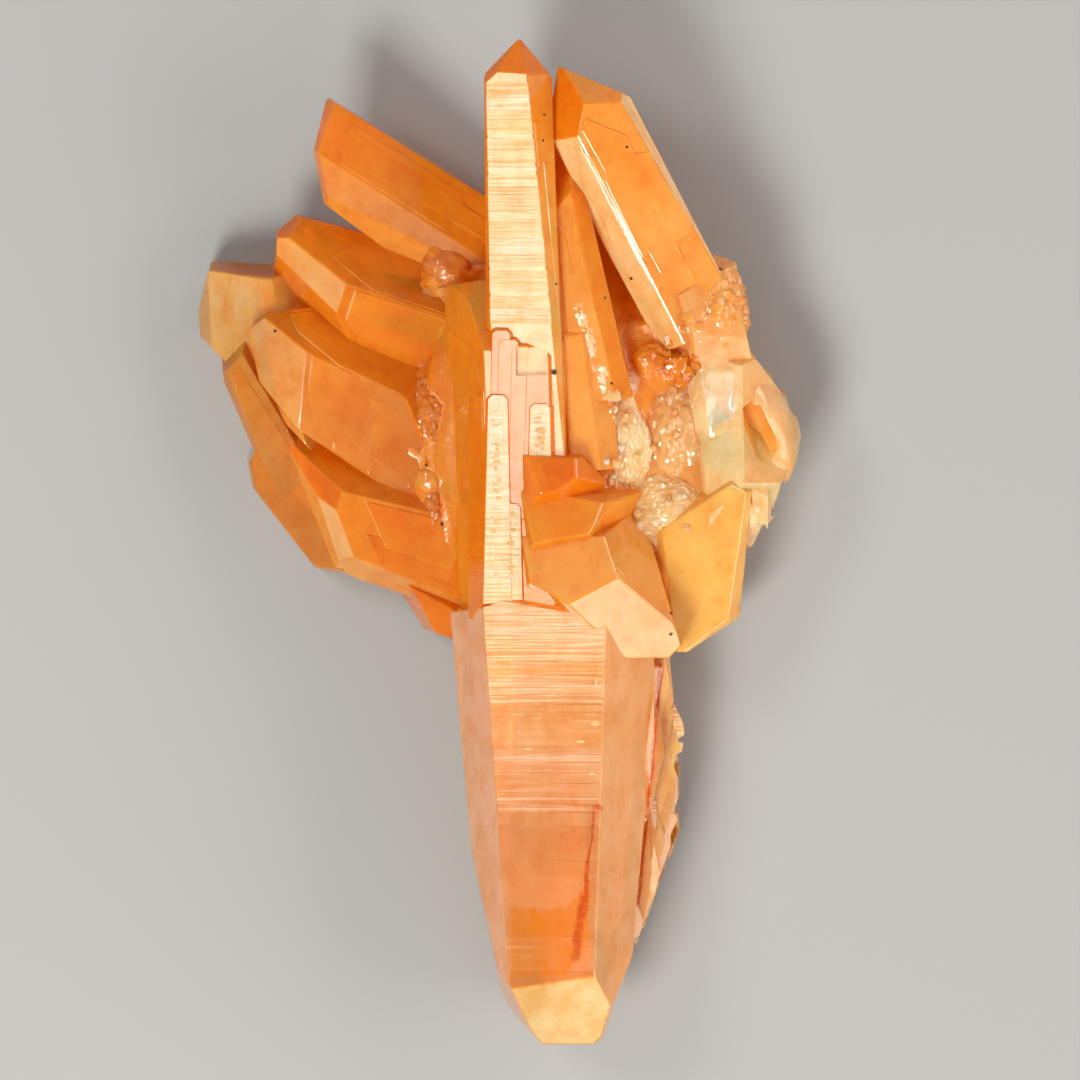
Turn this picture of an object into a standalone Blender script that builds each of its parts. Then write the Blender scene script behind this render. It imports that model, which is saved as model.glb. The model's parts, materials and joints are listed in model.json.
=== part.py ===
"""Tangerine quartz cluster, laid down on its back.

One long main crystal with a fan of crystals on its left, a leaning prism, stubby crystals and a drusy clump on
its right, and the rough matrix that they all grew from. They are one piece of stone, so they are one solid.

The origin is the middle of the footprint, on the surface that the cluster lies on. x runs across the cluster,
y along the main crystal towards its tip, and z up. Lengths are millimetres until a solid is made, and angles
are degrees.

A facet is written (facing, slope, reach). Facing is the compass direction that it looks in, seen from above:
0 is +x and 90 is +y. Slope is how far it is tipped over: 0 looks straight up, 90 sideways, and more looks
down. Reach is its distance from the crystal's heart.
"""

import math
import random

import bmesh
import bpy
from mathutils import Matrix, Vector, noise

MM = 0.001

BODY_NAME = "quartz_cluster"
BLOCK_SIZE = 260.0
FLOOR_BLOCK_DEPTH = 60.0

QUARTZ_COLOUR = (0.86, 0.42, 0.14, 1.0)
QUARTZ_ROUGHNESS = 0.28

MAIN_LEAN = 5.0
FRONT = (210, 5)
BLADE_HEART = (3.7, 54.4, 22.5)
BLADE_REACH = 7.8
FRONT_BACK = (30, 175)

# Each step of the ledge on the front face: middle, half width and top.
LEDGE_STEPS = [(0.8, 1.6, 33.6), (2.0, 1.7, 32.1), (4.0, 1.6, 31.0), (6.6, 1.8, 29.9)]

DRUSE_SEED = 5
# Patches of small crystals: middle, half widths and how many.
DRUSE_PATCHES = [(20.0, 16.5, 22.4, 3.0, 7.5, 16), (27.0, 5.0, 21.6, 4.4, 3.4, 14), (27.5, 17.5, 22.2, 3.2, 6.0, 9)]

# Chips along the lower body: place, radii and turn.
CHIPS = [(24.2, -63.0, 9.0, (2.2, 1.8, 9.0), 20), (30.2, -31.5, 8.0, (1.7, 1.1, 9.0), 0),
         (28.4, -51.6, 8.0, (1.6, 1.2, 9.0), -15)]


def clear_scene():
    for thing in list(bpy.data.objects):
        bpy.data.objects.remove(thing, do_unlink=True)


def direction(facing, slope):
    """Unit vector of a facet's outward normal."""
    facing, slope = math.radians(facing), math.radians(slope)
    return Vector((math.cos(facing) * math.sin(slope), math.sin(facing) * math.sin(slope), math.cos(slope)))


def axis_direction(bearing, lean):
    """Unit vector of a crystal's long axis, from its root to its tip."""
    bearing, lean = math.radians(bearing), math.radians(lean)
    return Vector((math.cos(bearing) * math.cos(lean), math.sin(bearing) * math.cos(lean), math.sin(lean)))


def cut(bm, point, normal):
    """Takes away everything on the outer side of a plane and closes the cut with one flat face."""
    whole = bm.verts[:] + bm.edges[:] + bm.faces[:]
    result = bmesh.ops.bisect_plane(bm, geom=whole, dist=1e-6, plane_co=point, plane_no=normal, clear_outer=True)
    rim = [item for item in result["geom_cut"] if isinstance(item, bmesh.types.BMEdge)]
    if rim:
        bmesh.ops.contextual_create(bm, geom=rim)


def add_object(name, bm, collection):
    bmesh.ops.recalc_face_normals(bm, faces=bm.faces)
    mesh = bpy.data.meshes.new(name)
    bm.to_mesh(mesh)
    bm.free()
    mesh.transform(Matrix.Scale(MM, 4))
    thing = bpy.data.objects.new(name, mesh)
    collection.objects.link(thing)
    return thing


def crystal(name, collection, heart, sides, alone, axis=(90, 0), under=6.0, root=20.0):
    """A convex crystal cut from a block.

    sides are the prism faces that show from above. Each has its parallel partner below, at the distance under.
    alone holds the faces that have no partner: those that end the crystal, and the flanks that give it its
    outline. The root is a flat end, mostly buried in the rest of the cluster.
    """
    heart = Vector(heart)
    along = axis_direction(*axis)
    bm = bmesh.new()
    bmesh.ops.create_cube(bm, size=BLOCK_SIZE, matrix=Matrix.Translation(heart))
    for facing, slope, reach in sides:
        normal = direction(facing, slope)
        cut(bm, heart + normal * reach, normal)
        cut(bm, heart - normal * under, -normal)
    for facing, slope, reach in alone:
        normal = direction(facing, slope)
        cut(bm, heart + normal * reach, normal)
    cut(bm, heart - along * root, -along)
    return add_object(name, bm, collection)


def chunk(name, collection, heart, facets):
    """A convex block bounded by the given facets alone."""
    heart = Vector(heart)
    bm = bmesh.new()
    bmesh.ops.create_cube(bm, size=BLOCK_SIZE, matrix=Matrix.Translation(heart))
    for facing, slope, reach in facets:
        normal = direction(facing, slope)
        cut(bm, heart + normal * reach, normal)
    return add_object(name, bm, collection)


def lump(name, collection, centre, radii, seed, depth=0.18, grain=0.3, turn=0.0):
    """A rough rounded mass of matrix: an ellipsoid whose surface goes in and out."""
    bm = bmesh.new()
    bmesh.ops.create_icosphere(bm, subdivisions=3, radius=1.0)
    shift = Vector((seed * 7.3, seed * 3.1, seed * 5.7))
    for vertex in bm.verts:
        way = vertex.co.copy()
        swell = noise.noise(way * (1.0 / grain) + shift)
        ridge = noise.noise(way * (2.3 / grain) - shift)
        vertex.co = way * (1.0 + depth * swell + 0.5 * depth * ridge)
    shape = Matrix.Translation(centre) @ Matrix.Rotation(math.radians(turn), 4, "Z") @ Matrix.Diagonal((*radii, 1.0))
    bmesh.ops.transform(bm, matrix=shape, verts=bm.verts)
    return add_object(name, bm, collection)


def small_point(name, collection, root, axis, radius, length, spin, slopes=(52, 46, 55), buried=3.0):
    """A six-sided crystal ending in a point. Its root is buried in the rock."""
    bm = bmesh.new()
    middle = Matrix.Translation((0, 0, (length - buried) / 2)) @ Matrix.Rotation(math.radians(spin), 4, "Z")
    bmesh.ops.create_cone(bm, cap_ends=True, segments=6, radius1=radius, radius2=radius, depth=length + buried,
                          matrix=middle)
    for side in range(6):
        cut(bm, Vector((0, 0, length)), direction(spin + 30 + 60 * side, slopes[side % len(slopes)]))
    stand = axis_direction(*axis).to_track_quat("Z", "Y").to_matrix().to_4x4()
    bmesh.ops.transform(bm, matrix=Matrix.Translation(root) @ stand, verts=bm.verts)
    return add_object(name, bm, collection)


def broken_lump(name, collection, centre, radii, seed, faces=16, turn=0.0):
    """A lump bounded by flat breaks that look in all directions."""
    chance = random.Random(seed)
    bm = bmesh.new()
    bmesh.ops.create_cube(bm, size=4.0)
    golden_angle = math.degrees(math.pi * (3 - math.sqrt(5)))
    for number in range(faces):
        slope = math.degrees(math.acos(1 - 2 * (number + 0.5) / faces)) + chance.uniform(-9, 9)
        normal = direction(number * golden_angle + chance.uniform(-14, 14), slope)
        cut(bm, normal * chance.uniform(0.86, 1.0), normal)
    shape = Matrix.Translation(centre) @ Matrix.Rotation(math.radians(turn), 4, "Z") @ Matrix.Diagonal((*radii, 1.0))
    bmesh.ops.transform(bm, matrix=shape, verts=bm.verts)
    return add_object(name, bm, collection)


def on_front(x, y, depth=0.0):
    """Point on the plane of the blade's front face, or depth below it."""
    normal = direction(*FRONT)
    heart = Vector(BLADE_HEART)
    z = heart.z + (BLADE_REACH - normal.x * (x - heart.x) - normal.y * (y - heart.y)) / normal.z
    return Vector((x, y, z - depth))


def front_layer(name, parts, x, y, half_width, up, down, rise):
    """A thin layer of growth on the main crystal's front face, with an arched top and sloping edges."""
    bed = 2.0
    rim = 62
    lift = (bed + rise) * math.cos(math.radians(rim))
    spread = math.sin(math.radians(rim))
    arch = 0.7 * (up + half_width) - 0.25 * half_width
    edges = [(0, half_width), (180, half_width), (90, up), (-90, down), (45, arch), (135, arch)]
    chunk(name, parts, on_front(x, y, bed),
          [(*FRONT, bed + rise), (0, 180, bed), *[(facing, rim, width * spread + lift) for facing, width in edges]])


def main_crystal(parts):
    """The long crystal: a lower body, an upper body and a blade in parallel, each a step behind the next."""
    axis = (90, MAIN_LEAN)
    crystal("lower_body", parts, (9.5, -34.9, 15.5),
            sides=[(*FRONT, 12.8), (185, 67, 13.8), (-4, 51, 14.0)],
            alone=[(185, 112, 13.6), (-6, 125, 10.1), (84, 45, 26.7), (110, 85, 27.9), (20, 60, 30.0),
                   (192, 88, 16.2), (209, 84, 24.8), (-90, 80, 45.2), (-90, 115, 40.0), (-21, 84, 22.8),
                   (-50, 82, 38.6), (-88, 35, 29.4), (-140, 86, 31.0)],
            axis=axis, under=14.0, root=50.0)
    crystal("upper_body", parts, (3.7, 14.4, 17.0),
            sides=[(*FRONT, 12.4), (183, 67, 9.5), (0, 51, 11.8)],
            alone=[(183, 112, 10.4), (2, 95, 7.8), (92, 31, 19.2), (134, 61, 24.0), (50, 36, 18.4), (90, 98, 26.0)],
            axis=axis, under=13.0, root=27.0)
    crystal("blade", parts, BLADE_HEART,
            sides=[(*FRONT, BLADE_REACH), (182, 67, 7.5), (4, 51, 7.5)],
            alone=[(180, 100, 4.35), (2, 95, 5.4), (134, 61, 18.8), (92, 31, 17.6), (37, 55, 15.4),
                   (42, 113, 13.8), (138, 113, 13.6)],
            axis=axis, under=10.5, root=60.0)
    for number, (x, half_width, top) in enumerate(LEDGE_STEPS):
        front_layer(f"ledge_step_{number}", parts, x, 24.0, half_width, top - 24.0, 20.0, 0.95 + 0.04 * number)
    front_layer("left_window", parts, 0.3, 7.5, 1.9, 16.0, 17.0, 1.35)
    front_layer("left_window_bay", parts, 2.4, 2.0, 1.6, 4.0, 11.2, 1.28)
    front_layer("right_window", parts, 7.0, 12.0, 1.8, 10.0, 15.0, 1.25)
    chunk("side_slab", parts, (24.5, -39.7, 11.0),
          [(0, 35, 4.5), (8, 88, 5.0), (-1, 88, 4.6), (-19, 88, 6.2), (-60, 85, 19.9), (76, 80, 20.4),
           (180, 80, 9.0), (0, 150, 8.0), (0, 180, 9.0)])
    chunk("side_slab_crest", parts, (24.2, -30.0, 12.6),
          [(-8, 30, 4.3), (3, 86, 3.7), (-19, 86, 9.6), (70, 60, 11.0), (-65, 58, 12.5), (180, 70, 6.0),
           (0, 180, 9.0)])


def left_fan(parts):
    crystal("fan_top", parts, (-15.4, 56.0, 12.0),
            sides=[(23, 21, 5.0), (-102, 32, 6.2)],
            alone=[(-110, 55, 7.0), (-127, 92, 8.9), (57, 85, 6.6), (156, 65, 16.7), (-158, 72, 12.1),
                   (176, 112, 10.4), (70, 115, 7.0), (-127, 118, 12.0)],
            axis=(148, 12), under=6.2, root=18.5)
    crystal("fan_second", parts, (-15.4, 38.4, 8.5),
            sides=[(64, 44, 6.0), (-95, 29, 7.6)],
            alone=[(-139, 61, 11.3), (74, 84, 8.9), (-147, 34, 11.2), (112, 59, 17.4), (178, 86, 20.4),
                   (150, 120, 17.5)],
            axis=(158, 5), under=7.5, root=17.0)
    crystal("fan_far_left", parts, (-40.9, 36.8, 6.5),
            sides=[(-169, 25, 3.9)],
            alone=[(184, 70, 5.45), (165.5, 88, 6.75), (185, 115, 7.8), (90, 72, 7.0), (92, 92, 9.4),
                   (-136, 89, 7.5), (128, 86, 9.1), (80, 130, 7.0), (12, 50, 8.9)],
            axis=(150, -6), under=8.0, root=24.0)
    crystal("fan_large", parts, (-21.8, 19.3, 9.5),
            sides=[(-90, 12, 6.5), (60, 47, 9.9)],
            alone=[(-124, 89, 6.8), (-154, 22, 9.4), (193, 70, 15.1), (193, 112, 11.5), (130, 85, 22.9),
                   (92, 80, 18.3), (218, 86, 9.2), (13, 50, 10.8)],
            axis=(148, 7), under=7.5, root=22.0)
    crystal("fan_low_back", parts, (-37.7, 19.3, 6.0),
            sides=[(211, 18, 5.9), (30, 60, 6.0)],
            alone=[(203, 68, 4.0), (203.5, 92, 2.9), (145, 70, 10.5), (185, 89, 5.5), (205, 115, 5.4),
                   (160, 112, 9.0)],
            axis=(128, 0), under=6.0, root=12.0)
    crystal("fan_bottom_back", parts, (-32.9, 6.5, 5.0),
            sides=[(212, 17, 5.9), (40, 55, 8.0)],
            alone=[(218, 91, 3.5), (194, 64, 6.6), (190, 88, 5.8), (150, 85, 9.3), (-100, 88, 10.0)],
            axis=(132, 0), under=5.5, root=14.0)
    crystal("fan_front", parts, (-15.4, 0.2, 10.0),
            sides=[(-43, 10, 5.7), (69, 49, 8.1)],
            alone=[(-107, 64, 7.1), (-115, 90, 8.6), (171, 28, 11.8), (-151, 48, 10.0), (-157, 68, 11.0),
                   (-160, 110, 11.6), (-115, 125, 8.0)],
            axis=(158, 10), under=6.5, root=17.0)
    chunk("fan_stub", parts, (-9.0, -11.8, 8.0),
          [(-110, 30, 3.5), (-112, 88, 3.0), (212, 80, 2.6), (60, 60, 4.0), (-50, 80, 4.0), (0, 180, 5.0)])


def right_group(parts):
    crystal("leaning_prism", parts, (21.3, 54.4, 22.5),
            sides=[(216, 50, 5.6), (-20, 14, 4.6), (24.5, 63, 7.3)],
            alone=[(206, 90, 7.0), (171, 48, 12.3), (78, 42, 14.5), (67, 90, 14.9), (170, 115, 12.8),
                   (28, 95, 7.25)],
            axis=(116, 5), under=6.5, root=24.5)
    crystal("thin_prism", parts, (14.1, 38.4, 22.0),
            sides=[(182, 8, 4.6), (14, 40, 4.6)],
            alone=[(183, 86, 4.5), (142, 52, 12.4), (40, 55, 10.3), (13, 88, 4.0)],
            axis=(96, 4), under=5.0, root=16.0)
    crystal("inner_prism", parts, (13.0, 24.0, 22.0),
            sides=[(184, 8, 5.2), (9, 42, 5.2)],
            alone=[(183, 86, 2.35), (100, 50, 9.9), (5, 88, 5.5)],
            axis=(93, 4), under=5.0, root=12.5)
    crystal("shadow_prism", parts, (17.3, 36.8, 14.0),
            sides=[(195, 40, 4.5), (25, 25, 4.5)],
            alone=[(200, 85, 3.0), (140, 50, 12.0), (60, 50, 12.0)],
            axis=(108, 4), under=5.0, root=16.0)
    crystal("dark_stub", parts, (9.3, 10.0, 26.5),
            sides=[(100, 17, 5.0), (16, 52, 6.0), (184, 47, 5.7)],
            alone=[(88, 80, 4.0), (40, 80, 5.9), (-82, 50, 5.4), (-50, 55, 4.9), (205, 80, 6.5)],
            axis=(-70, 20), under=6.0, root=12.0)
    chunk("curved_break", parts, (10.2, 3.6, 27.0),
          [(75, 25, 4.3), (15, 38, 6.6), (120, 20, 4.6), (188, 75, 6.1), (80, 70, 4.4), (-20, 60, 9.0),
           (-80, 70, 5.0), (0, 180, 8.0)])
    crystal("front_stub", parts, (16.5, -7.8, 24.5),
            sides=[(129, 19, 9.0), (29, 59, 7.8)],
            alone=[(236, 75, 6.8), (187, 78, 12.1), (16, 79, 10.0), (16, 90, 9.9), (-68, 34, 7.5),
                   (-90, 92, 10.8), (-45, 88, 15.3), (95, 70, 10.5)],
            axis=(-50, 25), under=12.0, root=14.0)
    chunk("golden_blade", parts, (33.3, -7.8, 14.0),
          [(-71, 18, 5.8), (-18, 59, 6.4), (-56, 60, 7.2), (197, 62, 8.0), (90, 70, 14.0), (-56, 88, 6.7),
           (-5, 90, 5.9), (-78, 90, 9.2), (-90, 90, 9.9), (120, 150, 8.0), (-60, 150, 8.0), (0, 180, 9.0)])


def clump(parts, cutters):
    """The pale lump on the right with its breaks, and the bed of small crystals next to it."""
    chunk("pale_block", parts, (35.6, 17.7, 16.0),
          [(148, 12, 6.4), (9, 40, 7.8), (81, 56, 12.1), (183, 72, 4.8), (37, 88, 11.5), (20, 88, 11.3),
           (-27, 88, 13.0), (-20, 88, 12.2), (-45, 50, 12.0), (-90, 80, 18.0), (0, 180, 16.3), (45, 140, 13.0),
           (10, 122, 13.4), (-50, 128, 15.2), (-120, 140, 16.0), (180, 125, 14.5)])
    broken_lump("clump_crown", parts, (35.2, 23.6, 17.0), (5.0, 7.6, 6.4), seed=11, faces=18, turn=12)
    broken_lump("clump_rim", parts, (42.6, 18.4, 12.5), (4.6, 9.0, 8.0), seed=12, faces=20, turn=18)
    broken_lump("clump_toe", parts, (39.6, 6.2, 13.0), (4.2, 6.8, 7.6), seed=13, faces=16, turn=-12)
    broken_lump("clump_pocket", cutters, (42.6, 16.4, 20.6), (1.9, 5.4, 3.2), seed=14, faces=14, turn=22)
    chunk("upper_rough_block", parts, (35.0, 36.0, 17.0),
          [(20, 20, 6.3), (-60, 30, 7.6), (46, 90, 5.8), (13, 90, 4.0), (120, 85, 6.4), (200, 60, 8.0),
           (-90, 60, 10.0), (0, 180, 12.0)])
    broken_lump("rough_block_knob", parts, (33.4, 38.6, 21.4), (3.0, 3.6, 2.6), seed=15, faces=14)
    broken_lump("pocket_rock_left", parts, (24.6, 28.2, 19.4), (2.6, 2.5, 2.4), seed=16, faces=12)
    broken_lump("pocket_rock_right", parts, (28.7, 27.8, 19.8), (2.5, 2.3, 2.6), seed=17, faces=12)
    chunk("druse_bed", parts, (24.5, 12.5, 14.0),
          [(100, 5, 8.0), (0, 75, 10.0), (180, 70, 9.0), (90, 60, 16.0), (-90, 60, 14.0), (0, 180, 6.5)])
    lump("druse_left", parts, (20.2, 15.8, 19.0), (4.6, 9.0, 4.2), seed=7, depth=0.16, grain=0.35)
    lump("druse_middle", parts, (28.2, 16.6, 18.6), (5.4, 9.4, 4.2), seed=8, depth=0.1, grain=0.5)
    lump("druse_low", parts, (26.8, 4.6, 18.8), (6.4, 5.6, 4.2), seed=9, depth=0.16, grain=0.35)
    broken_lump("beside_dark_stub", parts, (17.6, 10.2, 19.6), (3.6, 4.4, 4.6), seed=20, faces=16)


def druse(parts):
    """Small broken lumps and crystals that stand on the bed between the thin prism and the clump."""
    chance = random.Random(DRUSE_SEED)
    for number, (x, y, z, spread_x, spread_y, count) in enumerate(DRUSE_PATCHES):
        for place in range(count // 2):
            centre = (x + chance.uniform(-spread_x, spread_x), y + chance.uniform(-spread_y, spread_y), z - 0.9)
            radii = (chance.uniform(1.2, 2.3), chance.uniform(1.2, 2.3), chance.uniform(0.9, 1.5))
            broken_lump(f"grain_{number}_{place}", parts, centre, radii, seed=60 + 20 * number + place, faces=11)
        for place in range(count):
            root = (x + chance.uniform(-spread_x, spread_x), y + chance.uniform(-spread_y, spread_y), z)
            axis = (chance.uniform(0, 360), chance.uniform(48, 86))
            radius = chance.uniform(0.55, 1.15)
            small_point(f"druse_{number}_{place}", parts, root, axis, radius, radius * chance.uniform(1.6, 2.6),
                        chance.uniform(0, 60), buried=1.5)


def back_crystals(parts):
    """Crystals on the side that the cluster lies on. They are seen only from low down."""
    small_point("back_under_prism", parts, (21.0, 36.0, 8.5), (112, 2), 5.2, 27.0, 10)
    small_point("back_under_prism_low", parts, (28.0, 34.0, 5.6), (98, -1), 4.4, 17.0, 42)
    small_point("back_under_blade", parts, (5.0, 40.0, 7.6), (91, 3), 5.0, 24.0, 5)
    small_point("back_under_fan", parts, (-14.0, 30.0, 4.6), (165, 1), 4.2, 21.0, 20)
    small_point("back_under_fan_low", parts, (-16.0, 12.0, 4.0), (188, 0), 3.6, 16.0, 50)
    small_point("back_under_clump", parts, (33.0, 14.0, 5.0), (-64, 1), 4.6, 17.0, 30)
    small_point("back_beside_shaft", parts, (20.6, -5.0, 5.4), (-80, 0), 4.2, 13.0, 20)


def matrix_rock(parts):
    lump("core", parts, (2.0, 18.0, 10.5), (16.0, 27.0, 9.0), seed=1)
    lump("left_core", parts, (-9.6, 14.4, 8.2), (8.4, 14.0, 7.2), seed=2)
    lump("seam_core", parts, (-7.0, 41.0, 9.0), (6.0, 5.0, 7.0), seed=4)
    lump("right_core", parts, (24.0, 22.0, 11.5), (14.0, 20.0, 10.0), seed=3)
    lump("left_knob", parts, (-10.6, 9.7, 14.0), (2.4, 2.4, 2.2), seed=5, depth=0.08)
    lump("right_knob", parts, (20.8, 24.9, 20.5), (2.2, 2.4, 2.6), seed=6, depth=0.08)
    broken_lump("rear_seam_rock", parts, (17.4, -8.6, 6.0), (4.2, 5.0, 4.6), seed=21, faces=16)
    broken_lump("rear_left_rock", parts, (-4.0, 2.0, 6.4), (6.5, 9.0, 6.2), seed=22, faces=18)
    broken_lump("rear_right_rock", parts, (23.0, 12.0, 7.6), (10.5, 12.5, 7.4), seed=23, faces=20)
    broken_lump("left_seam_rock", parts, (-9.4, 20.6, 12.4), (3.4, 4.6, 3.0), seed=18, faces=14)
    broken_lump("left_top_rock", parts, (-7.4, 43.2, 12.6), (3.6, 2.8, 3.0), seed=19, faces=14)


def chips(cutters):
    """Breaks in the edges of the main crystal."""
    floor_block = bmesh.new()
    bmesh.ops.create_cube(floor_block, size=1.0)
    size = Matrix.Diagonal((BLOCK_SIZE, BLOCK_SIZE, FLOOR_BLOCK_DEPTH, 1.0))
    place = Matrix.Translation((0, 0, -FLOOR_BLOCK_DEPTH / 2))
    bmesh.ops.transform(floor_block, matrix=place @ size, verts=floor_block.verts)
    add_object("floor_block", floor_block, cutters)
    pit = on_front(5.6, 28.5)
    chunk("square_pit", cutters, pit,
          [(0, 80, 2.6), (180, 80, 2.6), (90, 80, 2.2), (-90, 80, 2.4), (0, 0, 4.0), (*FRONT_BACK, -0.05)])
    for number, (x, y, z, radii, turn) in enumerate(CHIPS):
        broken_lump(f"chip_{number}", cutters, (x, y, z), radii, seed=30 + number, faces=12, turn=turn)


def join_all(parts, cutters, group):
    """One solid from all the crystals, cut off level where it rests."""
    growths = list(parts.objects)
    base = growths[0]
    body = bpy.data.objects.new(BODY_NAME, base.data.copy())
    group.objects.link(body)
    parts.objects.unlink(base)
    bpy.data.objects.remove(base)
    union = body.modifiers.new("grown together", "BOOLEAN")
    union.operation = "UNION"
    union.solver = "EXACT"
    union.operand_type = "COLLECTION"
    union.collection = parts
    level = body.modifiers.new("resting level", "BOOLEAN")
    level.operation = "DIFFERENCE"
    level.solver = "EXACT"
    level.operand_type = "COLLECTION"
    level.collection = cutters
    return body


def quartz_material():
    material = bpy.data.materials.new("tangerine quartz")
    material.use_nodes = True
    shader = material.node_tree.nodes["Principled BSDF"]
    shader.inputs["Base Color"].default_value = QUARTZ_COLOUR
    shader.inputs["Roughness"].default_value = QUARTZ_ROUGHNESS
    shader.inputs["Metallic"].default_value = 0.0
    return material


def new_collection(name):
    collection = bpy.data.collections.new(name)
    bpy.context.scene.collection.children.link(collection)
    return collection


def build():
    clear_scene()
    group = new_collection("tangerine quartz cluster")
    parts = new_collection("growths")
    cutters = new_collection("cutters")
    main_crystal(parts)
    left_fan(parts)
    right_group(parts)
    clump(parts, cutters)
    druse(parts)
    back_crystals(parts)
    matrix_rock(parts)
    chips(cutters)
    body = join_all(parts, cutters, group)
    body.data.materials.append(quartz_material())
    for collection in (parts, cutters):
        for guide in collection.objects:
            guide.hide_render = True
            guide.display_type = "WIRE"


build()
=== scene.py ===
"""The tangerine quartz cluster as it looks: every crystal with its facets, worn edges, growth steps and
chips, in one piece of clear to milky orange stone.

Lengths in the shape tables are millimetres and angles are degrees. A facet is written (facing, slope, reach):
the compass direction that it looks in, how far it is tipped over from looking straight up, and its distance
from the crystal's heart.
"""

import json
import math
import random

import bmesh
import bpy
from mathutils import Matrix, Vector, noise
from mathutils.bvhtree import BVHTree

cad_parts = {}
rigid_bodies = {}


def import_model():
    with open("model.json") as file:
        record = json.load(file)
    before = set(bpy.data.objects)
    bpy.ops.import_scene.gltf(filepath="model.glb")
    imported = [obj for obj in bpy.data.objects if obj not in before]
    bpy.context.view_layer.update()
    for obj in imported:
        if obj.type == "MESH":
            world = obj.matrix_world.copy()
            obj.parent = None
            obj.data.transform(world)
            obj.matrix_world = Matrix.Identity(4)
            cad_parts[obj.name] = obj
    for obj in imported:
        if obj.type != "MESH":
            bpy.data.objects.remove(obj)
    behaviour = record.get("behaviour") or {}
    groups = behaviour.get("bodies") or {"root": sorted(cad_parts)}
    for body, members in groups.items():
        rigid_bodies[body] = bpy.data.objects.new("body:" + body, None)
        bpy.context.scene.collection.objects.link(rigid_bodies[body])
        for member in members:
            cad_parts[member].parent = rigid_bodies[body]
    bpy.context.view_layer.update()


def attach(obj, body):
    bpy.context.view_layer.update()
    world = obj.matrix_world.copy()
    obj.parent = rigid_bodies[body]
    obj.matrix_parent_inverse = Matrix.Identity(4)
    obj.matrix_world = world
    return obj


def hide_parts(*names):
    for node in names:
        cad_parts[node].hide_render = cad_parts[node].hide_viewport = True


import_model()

MM = 0.001

# The blocks that crystals are cut from, the block that cuts the cluster off level, and how worn edges are.
BLOCK_SIZE = 260.0
FLOOR_BLOCK_DEPTH = 60.0
EDGE_WEAR = 0.16
UP = Vector((0, 0, 1))
GOLDEN_ANGLE = math.degrees(math.pi * (3 - math.sqrt(5)))

# How nearly a face has to look along a facet to have that facet's colour, and how far up a crystal the tip's
# colour begins.
FACET_MATCH = 0.985
RIM_MATCH = 0.9
TIP_COLOUR_FROM = 0.35

# How deep a growth step and a band are set into their crystal, and how far a band stays inside its edges.
STEP_BED = 0.8
BAND_BED = 0.7
BAND_MARGIN = 0.03


def colour(red, green, blue):
    """A colour for the shaders from its screen values, 0 to 255."""
    return tuple((value / 255.0) ** 2.2 for value in (red, green, blue))


# The stone's own colours.
DEEP_ORANGE = colour(240, 120, 14)
ORANGE = colour(246, 136, 26)
TANGERINE = colour(248, 152, 42)
HONEY = colour(250, 188, 92)
APRICOT = colour(252, 172, 80)
PEACH = colour(252, 190, 118)
PINK = colour(246, 186, 136)
GREY_PEACH = colour(232, 166, 102)
CREAM_PEACH = colour(253, 206, 138)
CREAM = colour(255, 216, 150)
ICE = colour(255, 234, 194)
TAN = colour(222, 146, 84)
GREY_TAN = colour(226, 152, 92)
AMBER = colour(236, 132, 0)
SAND = colour(226, 138, 58)
RUST = colour(210, 88, 0)
SOOT = colour(46, 22, 10)

# Main crystal: its long axis, the way its front face and the face behind look, and the hearts of its parts.
MAIN_AXIS = (90, 5.0)
FRONT = (210, 5)
FRONT_BACK = (30, 175)
LOWER_HEART = (9.5, -34.9, 15.5)
BLADE_HEART = (3.7, 54.4, 22.5)
BLADE_REACH = 7.8

# The ledge's layers: middle, half width and upper end along y.
LEDGE_STEPS = [(0.8, 1.6, 33.6), (2.0, 1.7, 32.1), (4.0, 1.6, 31.0), (6.6, 1.8, 29.9)]

# Where the bands across the front faces begin and end along y, and over what length the lower ones darken.
LOWER_BANDS = (-8.0, -66.0)
LOWER_BANDS_DARKEN = 42.0
BLADE_BANDS = (72.5, 34.5)

# Slopes of a small crystal's end faces, in turn.
POINT_SLOPES = (52, 46, 55)

# Where the windows' scales lie: middle, half width and both ends along y.
WINDOW_STRIPS = [(0.3, 1.5, -8.0, 21.0), (0.3, 1.5, -8.0, 21.0), (2.4, 0.9, -7.5, 4.5), (7.0, 1.2, 6.5, 19.5)]
WINDOW_SCALES = 90
WINDOW_TOP = 1.31

# Where small crystals stand in the druse: middle, spread either way and how many.
DRUSE_PATCHES = [(20.0, 16.5, 2.6, 7.0, 9), (26.5, 4.4, 4.6, 3.0, 9), (27.5, 17.5, 3.0, 6.0, 4)]

# Breaks in the edges of the main crystal: place, radii and turn.
CHIPS = [(24.2, -63.0, 9.0, (2.2, 1.8, 9.0), 20), (30.2, -31.5, 8.0, (1.7, 1.1, 9.0), 0),
         (28.4, -51.6, 8.0, (1.6, 1.2, 9.0), -15)]


def direction(facing, slope):
    """Unit vector of a facet's outward normal."""
    facing, slope = math.radians(facing), math.radians(slope)
    return Vector((math.cos(facing) * math.sin(slope), math.sin(facing) * math.sin(slope), math.cos(slope)))


def axis_direction(bearing, lean):
    """Unit vector of a crystal's long axis, from its root to its tip."""
    bearing, lean = math.radians(bearing), math.radians(lean)
    return Vector((math.cos(bearing) * math.cos(lean), math.sin(bearing) * math.cos(lean), math.sin(lean)))


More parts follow.
